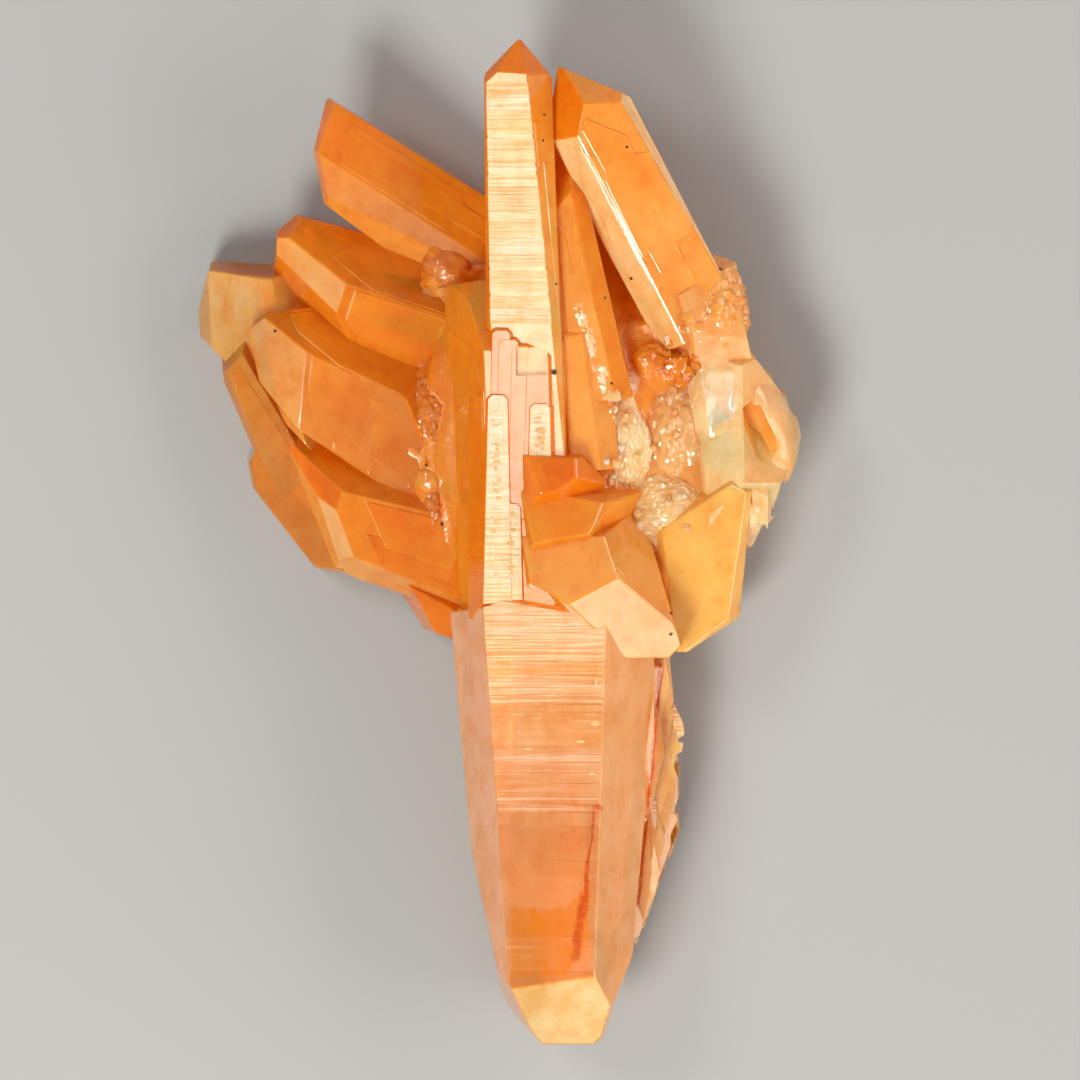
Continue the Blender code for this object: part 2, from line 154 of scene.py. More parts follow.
def cut(bm, point, normal):
    """Takes away everything on the outer side of a plane and closes the cut with one flat face."""
    whole = bm.verts[:] + bm.edges[:] + bm.faces[:]
    result = bmesh.ops.bisect_plane(bm, geom=whole, dist=1e-6, plane_co=point, plane_no=normal,
                                    clear_outer=True)
    rim = [item for item in result["geom_cut"] if isinstance(item, bmesh.types.BMEdge)]
    if rim:
        bmesh.ops.contextual_create(bm, geom=rim)


def block_round(heart):
    """A new mesh with a large block round a crystal's heart, to be cut down to the crystal."""
    bm = bmesh.new()
    bmesh.ops.create_cube(bm, size=BLOCK_SIZE, matrix=Matrix.Translation(heart))
    return bm


def fit(bm, centre, radii, turn=0.0):
    """Stretches a round shape to its radii, turns it and moves it to its centre."""
    spin = Matrix.Rotation(math.radians(turn), 4, "Z")
    shape = Matrix.Translation(centre) @ spin @ Matrix.Diagonal((*radii, 1.0))
    bmesh.ops.transform(bm, matrix=shape, verts=bm.verts)


class Look:
    """What one growth's stone is like: its colour at the root and at the tip, the facets that differ, each
    with one tone or with a root tone and a tip tone, and how broken its surface is, from 0 for a clean face
    to 1 for a rough break. rim is the colour of the edges of a layer on the front face."""

    def __init__(self, root, tip=None, facets=None, rough=0.0, rim=None):
        self.root = Vector(root)
        self.tip = Vector(tip or root)
        self.facets = {}
        for facet, tones in (facets or {}).items():
            self.facets[facet] = tones if len(tones) == 2 else (tones, tones)
        self.rough = rough
        self.rim = rim

    def lit(self, share):
        """The same look, a little paler or deeper."""
        facets = {facet: [Vector(tone) * share for tone in tones] for facet, tones in self.facets.items()}
        return Look(self.root * share, self.tip * share, facets, self.rough)

    def at(self, normal, along):
        """Colour of a point of a face, by the way that the face looks and how near it is to the tip."""
        if self.rim and normal.dot(direction(*FRONT)) < RIM_MATCH:
            return Vector(self.rim)
        root, tip = self.root, self.tip
        best = FACET_MATCH
        for (facing, slope), tones in self.facets.items():
            match = normal.dot(direction(facing, slope))
            if match > best:
                best = match
                root, tip = Vector(tones[0]), Vector(tones[1])
        share = min(max((along - TIP_COLOUR_FROM) / (1.0 - TIP_COLOUR_FROM), 0.0), 1.0)
        return root.lerp(tip, share * share)


grown = random.Random(17)


def add_growth(name, bm, collection, look, along=Vector((0, 1, 0)), wear=0.0, smooth=False):
    """Makes a growth's object, with its stone's colour and its own lengthwise grain kept on every corner."""
    bmesh.ops.recalc_face_normals(bm, faces=bm.faces)
    if wear > 0:
        bmesh.ops.bevel(bm, geom=bm.edges[:], offset=wear, offset_type="OFFSET", segments=1, affect="EDGES",
                        clamp_overlap=True)
    along = along.normalized()
    across = along.cross(UP).normalized()
    outward = across.cross(along)
    reach = [vertex.co.dot(along) for vertex in bm.verts]
    low, high = min(reach), max(reach)
    shift = Vector((grown.uniform(0, 900), grown.uniform(0, 900), grown.uniform(0, 900)))
    tones = bm.loops.layers.float_color.new("stone_tone")
    # A vector on a corner can't be made as a bmesh layer of its own, so the grain is kept as a second colour.
    grain = bm.loops.layers.float_color.new("grain")
    bm.normal_update()
    for face in bm.faces:
        face.smooth = smooth
        for loop in face.loops:
            place = loop.vert.co
            share = (place.dot(along) - low) / max(high - low, 1e-6)
            loop[tones] = (*look.at(face.normal, share), look.rough)
            own = Vector((place.dot(across), place.dot(along), place.dot(outward))) + shift
            loop[grain] = (*own, share)
    mesh = bpy.data.meshes.new(name)
    bm.to_mesh(mesh)
    bm.free()
    mesh.transform(Matrix.Scale(MM, 4))
    thing = bpy.data.objects.new(name, mesh)
    collection.objects.link(thing)
    return thing


def growth_steps(name, collection, look, heart, facets, along, root, target, count, rise):
    """Thin plates on one facet. Their edges run parallel to the crystal's own, each some way inside them."""
    chance = random.Random(f"{name} {target}")
    for number in range(count):
        bm = block_round(heart)
        height = rise * chance.uniform(0.4, 1.0)
        for facing, slope, reach in facets:
            normal = direction(facing, slope)
            if (facing, slope) == target:
                cut(bm, heart + normal * (reach + height), normal)
                cut(bm, heart + normal * (reach - STEP_BED), -normal)
            else:
                kept = chance.choice((0.985, 0.94, 0.8, 0.6, 0.45))
                normal = direction(facing + chance.uniform(-3, 3), slope)
                cut(bm, heart + normal * reach * kept, normal)
        cut(bm, heart - along * root * chance.uniform(0.2, 1.0), -along)
        if len(bm.faces) > 4:
            add_growth(f"{name}_step_{target[0]}_{number}", bm, collection,
                       look.lit(chance.uniform(0.96, 1.04)), along, wear=0.05)
        else:
            bm.free()


def crystal(name, collection, look, heart, sides, alone, axis, under, root, steps=()):
    """A convex crystal cut from a block. sides are prism faces, each with its parallel partner below, and
    alone are its other faces. steps says which facets carry growth steps, how many and how high."""
    heart = Vector(heart)
    along = axis_direction(*axis)
    bm = block_round(heart)
    for facing, slope, reach in sides:
        normal = direction(facing, slope)
        cut(bm, heart + normal * reach, normal)
        cut(bm, heart - normal * under, -normal)
    for facing, slope, reach in alone:
        normal = direction(facing, slope)
        cut(bm, heart + normal * reach, normal)
    cut(bm, heart - along * root, -along)
    add_growth(name, bm, collection, look, along, EDGE_WEAR)
    for target, count, rise in steps:
        growth_steps(name, collection, look, heart, [*sides, *alone], along, root, target, count, rise)


def chunk(name, collection, look, heart, facets, axis=(90, 0), wear=EDGE_WEAR):
    """A convex block bounded by the given facets alone."""
    heart = Vector(heart)
    bm = block_round(heart)
    for facing, slope, reach in facets:
        normal = direction(facing, slope)
        cut(bm, heart + normal * reach, normal)
    return add_growth(name, bm, collection, look, axis_direction(*axis), wear)


def band(name, collection, look, heart, facets, front, low, high, lean, rise):
    """A band across a crystal's front face, from low to high along y, whose surface leans a little its own
    way."""
    heart = Vector(heart)
    bm = block_round(heart)
    facing, slope, reach = front
    normal = direction(facing, slope)
    middle = heart + normal * (reach + rise)
    middle.z += (middle.y - (low + high) / 2) * normal.y / normal.z
    middle.y = (low + high) / 2
    cut(bm, middle, (normal + Vector(lean)).normalized())
    cut(bm, heart + normal * (reach - BAND_BED), -normal)
    for facing, slope, reach in facets:
        side = direction(facing, slope)
        cut(bm, heart + side * (reach - BAND_MARGIN), side)
    cut(bm, Vector((0, high, middle.z)), direction(90, 80))
    cut(bm, Vector((0, low, middle.z)), direction(-90, 80))
    if bm.faces:
        add_growth(name, bm, collection, look, wear=0.02)
    else:
        bm.free()


def pattern_shift(seed):
    """Gives each rough mass a surface pattern of its own."""
    return Vector((seed * 7.3, seed * 3.1, seed * 5.7))


def lump(name, collection, look, centre, radii, seed, depth=0.18, grain=0.3, turn=0.0):
    """A rough rounded mass of matrix: an ellipsoid whose surface goes in and out."""
    bm = bmesh.new()
    bmesh.ops.create_icosphere(bm, subdivisions=4, radius=1.0)
    shift = pattern_shift(seed)
    for vertex in bm.verts:
        way = vertex.co.copy()
        swell = noise.noise(way * (1.0 / grain) + shift)
        ridge = noise.noise(way * (2.3 / grain) - shift)
        vertex.co = way * (1.0 + depth * swell + 0.5 * depth * ridge)
    fit(bm, centre, radii, turn)
    return add_growth(name, bm, collection, look, smooth=True)


def sugar(name, collection, look, centre, radii, seed, size):
    """A mass of fine grains grown together, each a low bump with a crease round it."""
    bm = bmesh.new()
    bmesh.ops.create_icosphere(bm, subdivisions=5, radius=1.0)
    shift = pattern_shift(seed)
    for vertex in bm.verts:
        way = vertex.co.copy()
        place = Vector((way.x * radii[0], way.y * radii[1], way.z * radii[2]))
        near = noise.voronoi(place / size + shift)[0]
        swell = 0.12 * noise.noise(way * 2.2 + shift)
        vertex.co = place * (1.0 + swell) + way * (size * 0.7 * min(near[1] - near[0], 0.5))
    bmesh.ops.translate(bm, vec=centre, verts=bm.verts)
    return add_growth(name, bm, collection, look)


def small_point(name, collection, look, root, axis, radius, length, spin, buried=3.0):
    """A six-sided crystal ending in a point. Its root is buried in the rock."""
    bm = bmesh.new()
    middle = Matrix.Translation((0, 0, (length - buried) / 2)) @ Matrix.Rotation(math.radians(spin), 4, "Z")
    bmesh.ops.create_cone(bm, cap_ends=True, segments=6, radius1=radius, radius2=radius,
                          depth=length + buried, matrix=middle)
    for side in range(6):
        cut(bm, UP * length, direction(spin + 30 + 60 * side, POINT_SLOPES[side % len(POINT_SLOPES)]))
    stand = axis_direction(*axis).to_track_quat("Z", "Y").to_matrix().to_4x4()
    bmesh.ops.transform(bm, matrix=Matrix.Translation(root) @ stand, verts=bm.verts)
    return add_growth(name, bm, collection, look, axis_direction(*axis))


def broken_lump(name, collection, look, centre, radii, seed, faces=12, turn=0.0):
    """A lump bounded by flat breaks that look in all directions."""
    chance = random.Random(seed)
    bm = bmesh.new()
    bmesh.ops.create_cube(bm, size=4.0)
    for number in range(faces):
        slope = math.degrees(math.acos(1 - 2 * (number + 0.5) / faces)) + chance.uniform(-9, 9)
        normal = direction(number * GOLDEN_ANGLE + chance.uniform(-14, 14), slope)
        cut(bm, normal * chance.uniform(0.86, 1.0), normal)
    fit(bm, centre, radii, turn)
    return add_growth(name, bm, collection, look)


def on_front(x, y, depth=0.0):
    """Point on the plane of the blade's front face, or depth below it."""
    normal = direction(*FRONT)
    heart = Vector(BLADE_HEART)
    z = heart.z + (BLADE_REACH - normal.x * (x - heart.x) - normal.y * (y - heart.y)) / normal.z
    return Vector((x, y, z - depth))


def front_layer(name, parts, look, x, y, half_width, up, down, rise):
    """A thin layer of growth on the main crystal's front face, with an arched top and sloping edges."""
    bed = 2.0
    rim = 62
    lift = (bed + rise) * math.cos(math.radians(rim))
    spread = math.sin(math.radians(rim))
    arch = 0.7 * (up + half_width) - 0.25 * half_width
    edges = [(0, half_width), (180, half_width), (90, up), (-90, down), (45, arch), (135, arch)]
    slopes = [(facing, rim, width * spread + lift) for facing, width in edges]
    chunk(name, parts, look, on_front(x, y, bed), [(*FRONT, bed + rise), (0, 180, bed), *slopes], wear=0.06)


def lower_body(parts, chance):
    """The main crystal's thick lower part, with bands across its front that darken downwards."""
    look = Look(APRICOT, facets={FRONT: (TAN, PEACH), (185, 67): PINK, (-4, 51): (GREY_PEACH, PEACH),
                                 (192, 88): PINK, (-88, 35): CREAM_PEACH})
    sides = [(*FRONT, 12.8), (185, 67, 13.8), (-4, 51, 14.0)]
    ends = [(185, 112, 13.6), (-6, 125, 10.1), (84, 45, 26.7), (110, 85, 27.9), (20, 60, 30.0),
            (192, 88, 16.2), (209, 84, 24.8), (-90, 80, 45.2), (-90, 115, 40.0), (-21, 84, 22.8),
            (-50, 82, 38.6), (-88, 35, 29.4), (-140, 86, 31.0)]
    crystal("lower_body", parts, look, LOWER_HEART, sides, ends, axis=MAIN_AXIS, under=14.0, root=50.0)
    top, end = LOWER_BANDS
    number = 0
    while top > end:
        low = top - chance.choice((1.2, 2.2, 3.4, 5.5))
        deeper = min(1.0, (LOWER_BANDS[0] - low) / LOWER_BANDS_DARKEN)
        tone = Vector(PEACH).lerp(Vector(GREY_TAN), deeper) * chance.uniform(0.97, 1.03)
        lean = (chance.uniform(-0.004, 0.004), chance.uniform(-0.022, 0.022), 0.0)
        band(f"lower_band_{number}", parts, Look(tone, rough=0.08 - 0.06 * deeper), LOWER_HEART,
             sides[1:] + ends, sides[0], low, top, lean, chance.uniform(0.03, 0.12))
        top = low
        number += 1


def upper_body(parts):
    """The main crystal's middle part, which carries the blade and the ledge."""
    look = Look(TANGERINE, facets={FRONT: PEACH})
    crystal("upper_body", parts, look, (3.7, 14.4, 17.0),
            sides=[(*FRONT, 12.4), (183, 67, 9.5), (0, 51, 11.8)],
            alone=[(183, 112, 10.4), (2, 95, 7.8), (92, 31, 19.2), (134, 61, 24.0), (50, 36, 18.4),
                   (90, 98, 26.0)],
            axis=MAIN_AXIS, under=13.0, root=27.0, steps=[((183, 67), 5, 0.25), ((0, 51), 3, 0.2)])


def blade(parts, chance):
    """The main crystal's long narrow tip, with pale bands across its front."""
    look = Look(TANGERINE, ORANGE, {FRONT: CREAM, (4, 51): (HONEY, TANGERINE)})
    sides = [(*FRONT, BLADE_REACH), (182, 67, 7.5), (4, 51, 7.5)]
    ends = [(180, 100, 4.35), (2, 95, 5.4), (134, 61, 18.8), (92, 31, 17.6), (37, 55, 15.4), (42, 113, 13.8),
            (138, 113, 13.6)]
    crystal("blade", parts, look, BLADE_HEART, sides, ends, axis=MAIN_AXIS, under=10.5, root=60.0,
            steps=[((4, 51), 3, 0.15), ((92, 31), 2, 0.12)])
    top, end = BLADE_BANDS
    number = 0
    while top > end:
        low = top - chance.choice((0.7, 1.1, 1.8, 2.8, 4.2))
        tone = Vector(chance.choice((ICE, CREAM, CREAM, CREAM_PEACH))).lerp(Vector(CREAM), 0.5)
        lean = (chance.uniform(-0.01, 0.01), chance.uniform(-0.024, 0.024), 0.0)
        band(f"blade_band_{number}", parts, Look(tone, rough=0.1), BLADE_HEART, sides[1:] + ends, sides[0],
             low, top, lean, chance.uniform(0.02, 0.08))
        top = low - chance.choice((0.0, 0.0, 0.0, 0.6))
        number += 1


def ledge_and_windows(parts, chance):
    """The stepped ledge under the blade, and the raised windows with their scales."""
    layer = Look(GREY_PEACH, rim=ORANGE)
    window = Look(CREAM, ICE, rough=0.12, rim=ORANGE)
    for number, (x, half_width, top) in enumerate(LEDGE_STEPS):
        front_layer(f"ledge_step_{number}", parts, layer, x, 24.0, half_width, top - 24.0, 20.0,
                    0.95 + 0.04 * number)
    front_layer("left_window", parts, window, 0.3, 7.5, 1.9, 16.0, 17.0, 1.35)
    front_layer("left_window_bay", parts, window, 2.4, 2.0, 1.6, 4.0, 11.2, 1.28)
    front_layer("right_window", parts, window, 7.0, 12.0, 1.8, 10.0, 15.0, 1.25)
    for number in range(WINDOW_SCALES):
        x, half_width, low, high = chance.choice(WINDOW_STRIPS)
        y = chance.uniform(low, high)
        place = on_front(x + chance.uniform(-0.4, 0.4), y, -WINDOW_TOP)
        radii = (half_width * chance.uniform(0.2, 0.7), chance.uniform(0.12, 0.5), chance.uniform(0.04, 0.1))
        look = Look(chance.choice((ICE, CREAM, CREAM)), rough=0.3)
        broken_lump(f"window_scale_{number}", parts, look, place, radii, seed=2400 + number)


def side_slab(parts):
    """The slab on the right side of the lower body, and the crest along its top."""
    slab = Look(GREY_PEACH, PEACH, rough=0.2)
    chunk("side_slab", parts, slab, (24.5, -39.7, 11.0),
          [(0, 35, 4.5), (8, 88, 5.0), (-1, 88, 4.6), (-19, 88, 6.2), (-60, 85, 19.9), (76, 80, 20.4),
           (180, 80, 9.0), (0, 150, 8.0), (0, 180, 9.0)])
    chunk("side_slab_crest", parts, slab, (24.2, -30.0, 12.6),
          [(-8, 30, 4.3), (3, 86, 3.7), (-19, 86, 9.6), (70, 60, 11.0), (-65, 58, 12.5), (180, 70, 6.0),
           (0, 180, 9.0)])


def main_crystal(parts):
    """The long crystal: a lower body, an upper body and a blade in parallel, each a step behind the next."""
    chance = random.Random(41)
    lower_body(parts, chance)
    upper_body(parts)
    blade(parts, chance)
    ledge_and_windows(parts, chance)
    side_slab(parts)


def left_fan(parts):
    """The seven crystals and the stub that spread out on the main crystal's left."""
    crystal("fan_top", parts, Look(TANGERINE, ORANGE, {(-102, 32): (GREY_TAN, TANGERINE),
                                                       (-110, 55): (APRICOT, ORANGE)}), (-15.4, 56.0, 12.0),
            sides=[(23, 21, 5.0), (-102, 32, 6.2)],
            alone=[(-110, 55, 7.0), (-127, 92, 8.9), (57, 85, 6.6), (156, 65, 16.7), (-158, 72, 12.1),
                   (176, 112, 10.4), (70, 115, 7.0), (-127, 118, 12.0)],
            axis=(148, 12), under=6.2, root=18.5, steps=[((23, 21), 3, 0.2), ((-102, 32), 4, 0.25)])
    crystal("fan_second", parts, Look(TANGERINE, ORANGE, {(64, 44): TANGERINE, (-95, 29): (AMBER, TANGERINE),
                                                          (-147, 34): (PEACH, APRICOT)}),
            (-15.4, 38.4, 8.5),
            sides=[(64, 44, 6.0), (-95, 29, 7.6)],
            alone=[(-139, 61, 11.3), (74, 84, 8.9), (-147, 34, 11.2), (112, 59, 17.4), (178, 86, 20.4),
                   (150, 120, 17.5)],
            axis=(158, 5), under=7.5, root=17.0, steps=[((64, 44), 3, 0.2), ((-95, 29), 4, 0.22)])
    crystal("fan_far_left", parts, Look(APRICOT, facets={(-169, 25): (APRICOT, PEACH), (90, 72): ORANGE}),
            (-40.9, 36.8, 6.5),
            sides=[(-169, 25, 3.9)],
            alone=[(184, 70, 5.45), (165.5, 88, 6.75), (185, 115, 7.8), (90, 72, 7.0), (92, 92, 9.4),
                   (-136, 89, 7.5), (128, 86, 9.1), (80, 130, 7.0), (12, 50, 8.9)],
            axis=(150, -6), under=8.0, root=24.0, steps=[((-169, 25), 3, 0.18)])
    crystal("fan_large", parts,
            Look(TANGERINE, facets={(-90, 12): (SAND, TANGERINE), (60, 47): (TANGERINE, ORANGE),
                                    (-154, 22): (APRICOT, GREY_PEACH), (193, 70): (PEACH, APRICOT)}),
            (-21.8, 19.3, 9.5),
            sides=[(-90, 12, 6.5), (60, 47, 9.9)],
            alone=[(-124, 89, 6.8), (-154, 22, 9.4), (193, 70, 15.1), (193, 112, 11.5), (130, 85, 22.9),
                   (92, 80, 18.3), (218, 86, 9.2), (13, 50, 10.8)],
            axis=(148, 7), under=7.5, root=22.0, steps=[((-90, 12), 5, 0.18), ((60, 47), 3, 0.2)])
    crystal("fan_low_back", parts, Look(SAND, TANGERINE), (-37.7, 19.3, 6.0),
            sides=[(211, 18, 5.9), (30, 60, 6.0)],
            alone=[(203, 68, 4.0), (203.5, 92, 2.9), (145, 70, 10.5), (185, 89, 5.5), (205, 115, 5.4),
                   (160, 112, 9.0)],
            axis=(128, 0), under=6.0, root=12.0, steps=[((211, 18), 3, 0.15)])
    crystal("fan_bottom_back", parts, Look(SAND, ORANGE), (-32.9, 6.5, 5.0),
            sides=[(212, 17, 5.9), (40, 55, 8.0)],
            alone=[(218, 91, 3.5), (194, 64, 6.6), (190, 88, 5.8), (150, 85, 9.3), (-100, 88, 10.0)],
            axis=(132, 0), under=5.5, root=14.0, steps=[((212, 17), 3, 0.15)])
    crystal("fan_front", parts,
            Look(TANGERINE, DEEP_ORANGE, {(-107, 64): APRICOT, (171, 28): DEEP_ORANGE,
                                          (-151, 48): (PEACH, APRICOT), (-157, 68): APRICOT}),
            (-15.4, 0.2, 10.0),
            sides=[(-43, 10, 5.7), (69, 49, 8.1)],
            alone=[(-107, 64, 7.1), (-115, 90, 8.6), (171, 28, 11.8), (-151, 48, 10.0), (-157, 68, 11.0),
                   (-160, 110, 11.6), (-115, 125, 8.0)],
            axis=(158, 10), under=6.5, root=17.0, steps=[((-43, 10), 4, 0.2), ((-107, 64), 2, 0.2)])
    chunk("fan_stub", parts, Look(ORANGE), (-9.0, -11.8, 8.0),
          [(-110, 30, 3.5), (-112, 88, 3.0), (212, 80, 2.6), (60, 60, 4.0), (-50, 80, 4.0), (0, 180, 5.0)])


def right_group(parts):
    """The prisms, stubs and blade on the main crystal's right."""
    # The thin band that looks along (24.5, 63) is painted cream. This is painted light that keeps it bright
    # where it lies in shade.
    crystal("leaning_prism", parts,
            Look(TANGERINE, facets={(216, 50): (CREAM_PEACH, CREAM), (-20, 14): (APRICOT, TANGERINE),
                                    (171, 48): ORANGE, (78, 42): APRICOT, (24.5, 63): CREAM,
                                    (28, 95): CREAM}),
            (21.3, 54.4, 22.5),
            sides=[(216, 50, 5.6), (-20, 14, 4.6), (24.5, 63, 7.3)],
            alone=[(206, 90, 7.0), (171, 48, 12.3), (78, 42, 14.5), (67, 90, 14.9), (170, 115, 12.8),
                   (28, 95, 7.25)],
            axis=(116, 5), under=6.5, root=24.5, steps=[((216, 50), 4, 0.3), ((-20, 14), 5, 0.25)])
    crystal("thin_prism", parts,
            Look(TANGERINE, facets={(182, 8): (APRICOT, TANGERINE), (14, 40): (TANGERINE, ORANGE)}),
            (14.1, 38.4, 22.0),
            sides=[(182, 8, 4.6), (14, 40, 4.6)],
            alone=[(183, 86, 4.5), (142, 52, 12.4), (40, 55, 10.3), (13, 88, 4.0)],
            axis=(96, 4), under=5.0, root=16.0, steps=[((182, 8), 3, 0.15)])
    crystal("inner_prism", parts, Look(APRICOT, TANGERINE), (13.0, 24.0, 22.0),
            sides=[(184, 8, 5.2), (9, 42, 5.2)],
            alone=[(183, 86, 2.35), (100, 50, 9.9), (5, 88, 5.5)],
            axis=(93, 4), under=5.0, root=12.5, steps=[((184, 8), 3, 0.15)])
    crystal("shadow_prism", parts, Look(ORANGE, DEEP_ORANGE), (17.3, 36.8, 14.0),
            sides=[(195, 40, 4.5), (25, 25, 4.5)],
            alone=[(200, 85, 3.0), (140, 50, 12.0), (60, 50, 12.0)],
            axis=(108, 4), under=5.0, root=16.0)
    crystal("dark_stub", parts, Look(ORANGE, DEEP_ORANGE), (9.3, 10.0, 26.5),
            sides=[(100, 17, 5.0), (16, 52, 6.0), (184, 47, 5.7)],
            alone=[(88, 80, 4.0), (40, 80, 5.9), (-82, 50, 5.4), (-50, 55, 4.9), (205, 80, 6.5)],
            axis=(-70, 20), under=6.0, root=12.0, steps=[((100, 17), 2, 0.12)])
    chunk("curved_break", parts, Look(TANGERINE, rough=0.2), (10.2, 3.6, 27.0),
          [(75, 25, 4.3), (15, 38, 6.6), (120, 20, 4.6), (188, 75, 6.1), (80, 70, 4.4), (-20, 60, 7.0),
           (-80, 70, 5.0), (0, 180, 8.0)])
    crystal("front_stub", parts, Look(TANGERINE, APRICOT, {(129, 19): APRICOT, (-68, 34): PEACH,
                                                           (29, 59): (APRICOT, HONEY)}),
            (16.5, -7.8, 24.5),
            sides=[(129, 19, 9.0), (29, 59, 7.8)],
            alone=[(236, 75, 6.8), (187, 78, 12.1), (16, 79, 10.0), (16, 90, 9.9), (-68, 34, 7.5),
                   (-90, 92, 10.8), (-45, 88, 15.3), (95, 70, 10.5)],
            axis=(-50, 25), under=12.0, root=14.0, steps=[((29, 59), 3, 0.15)])
    chunk("golden_blade", parts, Look(HONEY), (33.3, -7.8, 14.0),
          [(-71, 18, 5.8), (-18, 59, 6.4), (-56, 60, 7.2), (197, 62, 8.0), (56, 62, 19.3), (126, 62, 15.0),
           (-56, 88, 6.7), (-5, 90, 5.9), (-78, 90, 9.2), (-90, 90, 9.9), (120, 150, 8.0), (-60, 150, 8.0),
           (0, 180, 9.0)],
          axis=(-80, 0))


# Shell-shaped breaks: centre, radii and tone, with how close their ripples are and how high, as a share of
# the radius.
# The first break's ice tone is partly the pale fresh stone and partly a painted highlight on the clump's
# crown.
SCOOPS = [((36.0, 24.4, 36.0), (8.4, 15.5, 13.9), ICE), ((54.5, 27.0, 30.0), (14.5, 15.0, 15.0), CREAM_PEACH)]
RIPPLES = 46.0
RIPPLE_HEIGHT = 0.006


def scoop(name, cutters, look, centre, radii, seed):
    """A shallow shell-shaped break, cut by a large smooth ball with a few ripples."""
    bm = bmesh.new()
    bmesh.ops.create_icosphere(bm, subdivisions=5, radius=1.0)
    shift = Vector((seed * 3.7, seed * 1.9, seed * 2.3))
    pole = Vector((math.cos(seed), math.sin(seed), -0.6)).normalized()
    for vertex in bm.verts:
        way = vertex.co.copy()
        ripple = math.sin(math.acos(max(-1.0, min(1.0, way.dot(pole)))) * RIPPLES) * RIPPLE_HEIGHT
        vertex.co = way * (1.0 + ripple + 0.08 * noise.noise(way * 3.0 + shift))
    fit(bm, centre, radii)
    add_growth(name, bm, cutters, look, smooth=True)


def clump(parts, cutters):
    """The pale lump on the right, with its sliver and its pocket."""
    chunk("pale_block", parts,
          Look(CREAM, facets={(9, 40): (PEACH, CREAM_PEACH), (81, 56): PEACH}, rough=0.2), (35.6, 17.7, 16.0),
          [(148, 12, 6.4), (9, 40, 7.8), (81, 56, 12.1), (183, 72, 4.8), (37, 88, 11.5), (20, 88, 11.3),
           (-27, 88, 13.0), (-20, 88, 12.2), (-45, 50, 12.0), (-90, 80, 18.0), (0, 180, 16.3),
           (45, 140, 13.0), (10, 122, 13.4), (-50, 128, 15.2), (-120, 140, 16.0), (180, 125, 14.5)])
    lump("clump_crown", parts, Look(CREAM, rough=0.2), (35.2, 21.4, 16.8), (6.2, 11.2, 6.6), 11, 0.08, 0.8)
    lump("clump_rim", parts, Look(CREAM_PEACH, PEACH, rough=0.18), (42.0, 18.8, 13.4), (5.8, 10.6, 8.4), 12,
         0.07, 0.9, turn=18)
    lump("clump_toe", parts, Look(CREAM, CREAM_PEACH, rough=0.18), (40.2, 6.8, 13.2), (4.6, 7.6, 8.2), 13,
         0.08, 0.7, turn=-12)
    broken_lump("clump_sliver", parts, Look(CREAM, rough=0.2), (41.4, 9.6, 19.4), (1.6, 5.6, 2.4), 24, 10, 10)
    broken_lump("clump_pocket", cutters, Look(HONEY, TANGERINE, rough=0.2), (42.4, 16.6, 22.2),
                (2.2, 6.2, 2.6), 14, 14, 22)


def rock_right(parts):
    """The rough block above the clump, the rock in the pocket and the bed of fine grains beside the clump."""
    warm = Look(APRICOT, PEACH, rough=0.6)
    chunk("upper_rough_block", parts, Look(PEACH, APRICOT, rough=0.6), (35.0, 36.0, 16.4),
          [(20, 20, 6.3), (-60, 30, 7.6), (46, 90, 5.8), (13, 90, 4.0), (120, 85, 6.4), (200, 60, 8.0),
           (-90, 60, 10.0), (0, 180, 12.0)])
    sugar("upper_rough_mass", parts, Look(APRICOT, PEACH, rough=0.3), (34.4, 36.8, 17.4), (5.6, 8.4, 6.2),
          15, 1.7)
    lump("pocket_rock_left", parts, Look(TANGERINE, rough=0.6), (24.4, 28.2, 18.6), (3.6, 3.4, 3.4), 16,
         grain=0.5)
    lump("pocket_rock_right", parts, Look(AMBER, rough=0.6), (28.9, 27.6, 18.8), (3.8, 3.2, 3.6), 17,
         grain=0.5)
    chunk("druse_bed", parts, warm, (24.5, 12.5, 14.0),
          [(100, 5, 6.8), (0, 75, 10.0), (180, 70, 9.0), (90, 60, 16.0), (-90, 60, 14.0), (0, 180, 6.5)])
    sugar("druse_left", parts, Look(CREAM, rough=0.2), (20.4, 15.4, 18.6), (4.8, 9.8, 5.0), 7, 0.9)
    sugar("druse_middle", parts, Look(PEACH, PINK, rough=0.2), (28.6, 17.4, 17.8), (5.4, 9.8, 4.6), 8, 1.4)
    sugar("druse_low", parts, Look(CREAM, CREAM_PEACH, rough=0.2), (26.8, 4.6, 18.2), (7.4, 6.4, 5.2), 9, 0.9)
    lump("beside_dark_stub", parts, warm, (17.6, 10.2, 19.0), (3.6, 4.8, 4.8), 20, grain=0.5)


def scoops(cutters):
    """The shell-shaped breaks."""
    for number, (centre, radii, tone) in enumerate(SCOOPS):
        scoop(f"scoop_{number}", cutters, Look(tone, rough=0.15), centre, radii, number)


def druse(parts):
    """Small crystals that stand out of the grainy growth between the thin prism and the clump."""
    height = surface_of(parts)
    chance = random.Random(5)
    for number, (x, y, spread_x, spread_y, count) in enumerate(DRUSE_PATCHES):
        for place in range(count):
            spot = (x + chance.uniform(-spread_x, spread_x), y + chance.uniform(-spread_y, spread_y))
            z = height(*spot)
            radius = chance.uniform(0.4, 0.9)
            look = Look(chance.choice((CREAM, ICE, PEACH)), rough=0.1)
            axis = (chance.uniform(0, 360), chance.uniform(40, 86))
            spin = chance.uniform(0, 60)
            if z is not None:
                small_point(f"druse_{number}_{place}", parts, look, (*spot, z - 0.3), axis, radius,
                            radius * chance.uniform(1.4, 2.4), spin, buried=1.2)


